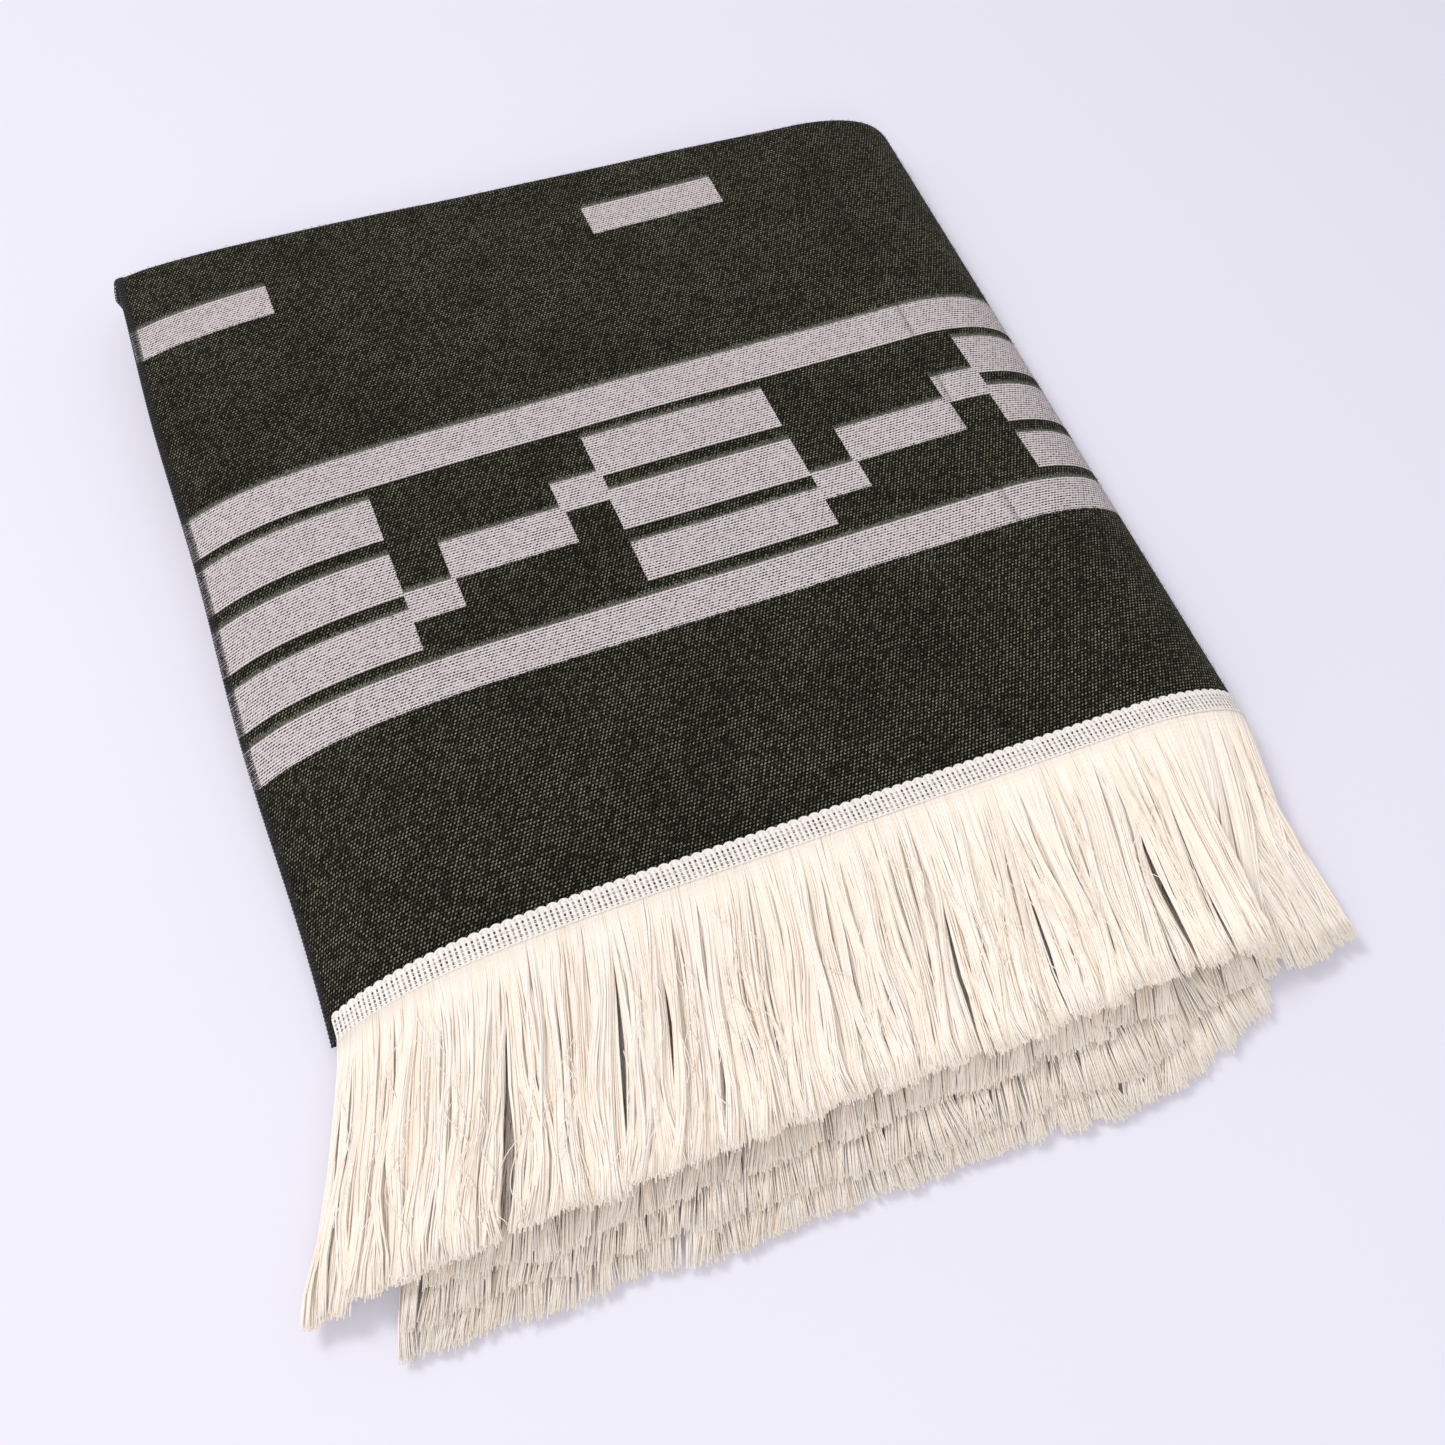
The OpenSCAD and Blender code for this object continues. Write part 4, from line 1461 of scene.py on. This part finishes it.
    def build_tapes(self) -> None:
        """Makes the tapes and their sewn rows along both fringed ends."""
        outer, inner = self.outer_rail, self.inner_rail
        _, outer_fold, outer_low, outer_end = self.outer_marks
        _, inner_fold, inner_low, inner_end = self.inner_marks
        fine, plain = self.tape.fine, self.tape.plain
        both_wraps = ("tape_wrap_upper", "tape_wrap_lower")
        for name, rail, start, end, step, carrier, nodes, sewn in (
            ("upper", outer, self.tape.inset, outer_fold, fine, Leaf.UPPER, ("tape_top",), ("sewing_top",)),
            ("wrap", outer, outer_fold, outer_low, fine, WRAP_BEND, both_wraps, ()),
            ("base", outer, outer_low, outer_end, plain, Leaf.LOWER, ("tape_base",), ("sewing_base",)),
            ("second", inner, 0.0, inner_fold, plain, Leaf.UPPER, ("tape_second",), ("sewing_second",)),
            ("fold", inner, inner_fold, inner_low, plain, FOLD_TAPE_BEND, (), ()),
            ("third", inner, inner_low, inner_end, plain, Leaf.LOWER, ("tape_third",), ("sewing_third",)),
        ):
            self.put(self.tape.strip(rail, start, end, step), f"tape_{name}_weave", carrier, "tape", *nodes)
            sewing = Patch.joined([self.tape.stitches(rail, start, end, away) for away in self.sewn_rows])
            self.put(sewing, f"stitches_{name}", carrier, "sewing", *sewn)

    def build_fringes(self) -> None:
        """Makes the four tiers of fringe, the corner round the side fold and the loose threads."""
        outer, inner = self.outer_rail, self.inner_rail
        _, outer_fold, outer_low, outer_end = self.outer_marks
        _, inner_fold, _, inner_end = self.inner_marks
        turn = (outer_fold + outer_low) / 2 + 12.0 * MM
        marks = np.linspace(self.tape.inset, outer_fold, 4)
        top = Fringe(seed=21)
        middle = replace(top, seed=22)
        right = replace(top, seed=23)
        side = replace(top, seed=31, wrap_from=outer_fold)
        under = replace(side, seed=32, tip_height=9.0 * MM)
        second = replace(top, seed=41, tip_height=26.0 * MM, thickness=2.8 * MM, rings=9, sides=3,
                         fan=64.0 * MM, short_start=0.05)
        third = replace(second, seed=51, tip_height=17.0 * MM)
        base = replace(second, seed=61, tip_height=6.0 * MM, thickness=3.2 * MM, fan=62.0 * MM,
                       short_start=0.20)
        for name, tier, rail, start, end, count, leaf, nodes in (
            ("top_left", top, outer, marks[0], marks[1], 1800, Leaf.UPPER, ()),
            ("top_middle", middle, outer, marks[1], marks[2], 1800, Leaf.UPPER, ("fringe_top",)),
            ("top_right", right, outer, marks[2], marks[3], 1800, Leaf.UPPER, ()),
            ("side_upper", side, outer, outer_fold, turn, 900, Leaf.UPPER, ()),
            ("side_lower", under, outer, turn, outer_low, 500, Leaf.LOWER, ()),
            ("second_tier", replace(second, drawn=50.0 * MM), inner, 0.0, inner_fold, 2300, Leaf.UPPER,
             ("fringe_second",)),
            ("third_tier", third, inner, inner_fold + 30.0 * MM, inner_end, 2200, Leaf.LOWER,
             ("fringe_third",)),
            ("base_tier", base, outer, outer_low, outer_end, 2800, Leaf.LOWER, ("fringe_base",)),
        ):
            yarns = tier.yarns(self.stack, rail, start, end, count)
            self.put(yarns, f"fringe_{name}", leaf, "fringe", *nodes)
        loose = LooseThreads().threads(self.stack, top, outer, outer_fold)
        self.put(loose, "loose_threads", Leaf.UPPER, "fringe")

    def build(self) -> None:
        """Makes every piece."""
        self.build_cloth()
        self.build_nap()
        self.build_hems()
        self.build_tapes()
        self.build_fringes()


# --------------------------------------------------------------------------------------------------
# Studio
# --------------------------------------------------------------------------------------------------

@dataclass(frozen=True)
class Softbox:
    """A square area light: its name, place, size, power and colour."""

    name: str
    place: tuple[float, float, float]
    size: float
    power: float
    colour: Colour = (1.0, 1.0, 1.0)

    def hang(self) -> None:
        """Hangs the light so that it faces the middle of the throw."""
        lamp = bpy.data.lights.new(self.name, "AREA")
        lamp.size, lamp.energy, lamp.color = self.size, self.power, self.colour
        holder = bpy.data.objects.new(self.name, lamp)
        x, y, z = self.place
        turn = math.atan2(-x, y) + math.pi
        tilt = math.atan2(math.hypot(x, y), z)
        holder.matrix_world = (Matrix.Translation(self.place) @ Matrix.Rotation(turn, 4, "Z")
                               @ Matrix.Rotation(tilt, 4, "X"))
        bpy.context.scene.collection.objects.link(holder)


@dataclass(frozen=True)
class Studio:
    """Pale floor, soft light from the far left, a weaker fill from the front, and the camera."""

    camera_place: tuple[float, float, float] = (-0.2732, -0.8330, 0.9565)
    azimuth: float = -21.6
    elevation: float = 55.26
    roll: float = 0.18
    lens: float = 39.86
    floor_half: float = 4.0
    sky: Colour = (0.93, 0.93, 1.0)
    sky_strength: float = 0.68
    lights: tuple[Softbox, ...] = (
        Softbox("key", (-4.6, 5.2, 8.2), 3.6, 520.0, (1.0, 0.985, 0.97)),
        Softbox("front_fill", (-2.6, -5.6, 4.6), 3.0, 200.0, (1.0, 0.99, 0.985)),
    )

    def lay_floor(self) -> None:
        """Lays the floor just under the throw, as a flat grid."""
        half = self.floor_half
        side = np.linspace(-half, half, 3)
        x, y = np.meshgrid(side, side, indexing="ij")
        top = stack_xyz(x, y, np.zeros_like(x) - 0.1 * MM)
        patch = closed_sheet(top, top - np.array([0, 0, 0.02]), np.stack([x, y], axis=-1))
        patch.make("floor", FloorPaint().material())

    def set_camera(self) -> None:
        """Places the camera by its azimuth, elevation and roll."""
        lens = bpy.data.cameras.new("camera")
        lens.lens, lens.sensor_width = self.lens, 36.0
        lens.clip_start, lens.clip_end = 0.01, 50.0
        holder = bpy.data.objects.new("camera", lens)
        holder.matrix_world = (Matrix.Translation(self.camera_place)
                               @ Matrix.Rotation(math.radians(self.azimuth), 4, "Z")
                               @ Matrix.Rotation(math.radians(90 - self.elevation), 4, "X")
                               @ Matrix.Rotation(math.radians(self.roll), 4, "Z"))
        bpy.context.scene.collection.objects.link(holder)
        bpy.context.scene.camera = holder

    def build(self) -> None:
        """Sets the floor, the sky, the lights, the colour view and the camera."""
        self.lay_floor()
        world = bpy.data.worlds.new("sky")
        world.use_nodes = True
        background = world.node_tree.nodes["Background"]
        background.inputs[0].default_value = (*self.sky, 1.0)
        background.inputs[1].default_value = self.sky_strength
        bpy.context.scene.world = world
        bpy.context.scene.view_settings.view_transform = "Standard"
        for light in self.lights:
            light.hang()
        self.set_camera()


def main() -> None:
    """Builds the studio and the throw."""
    Studio().build()
    Throw().build()


if __name__ == "__main__":
    main()
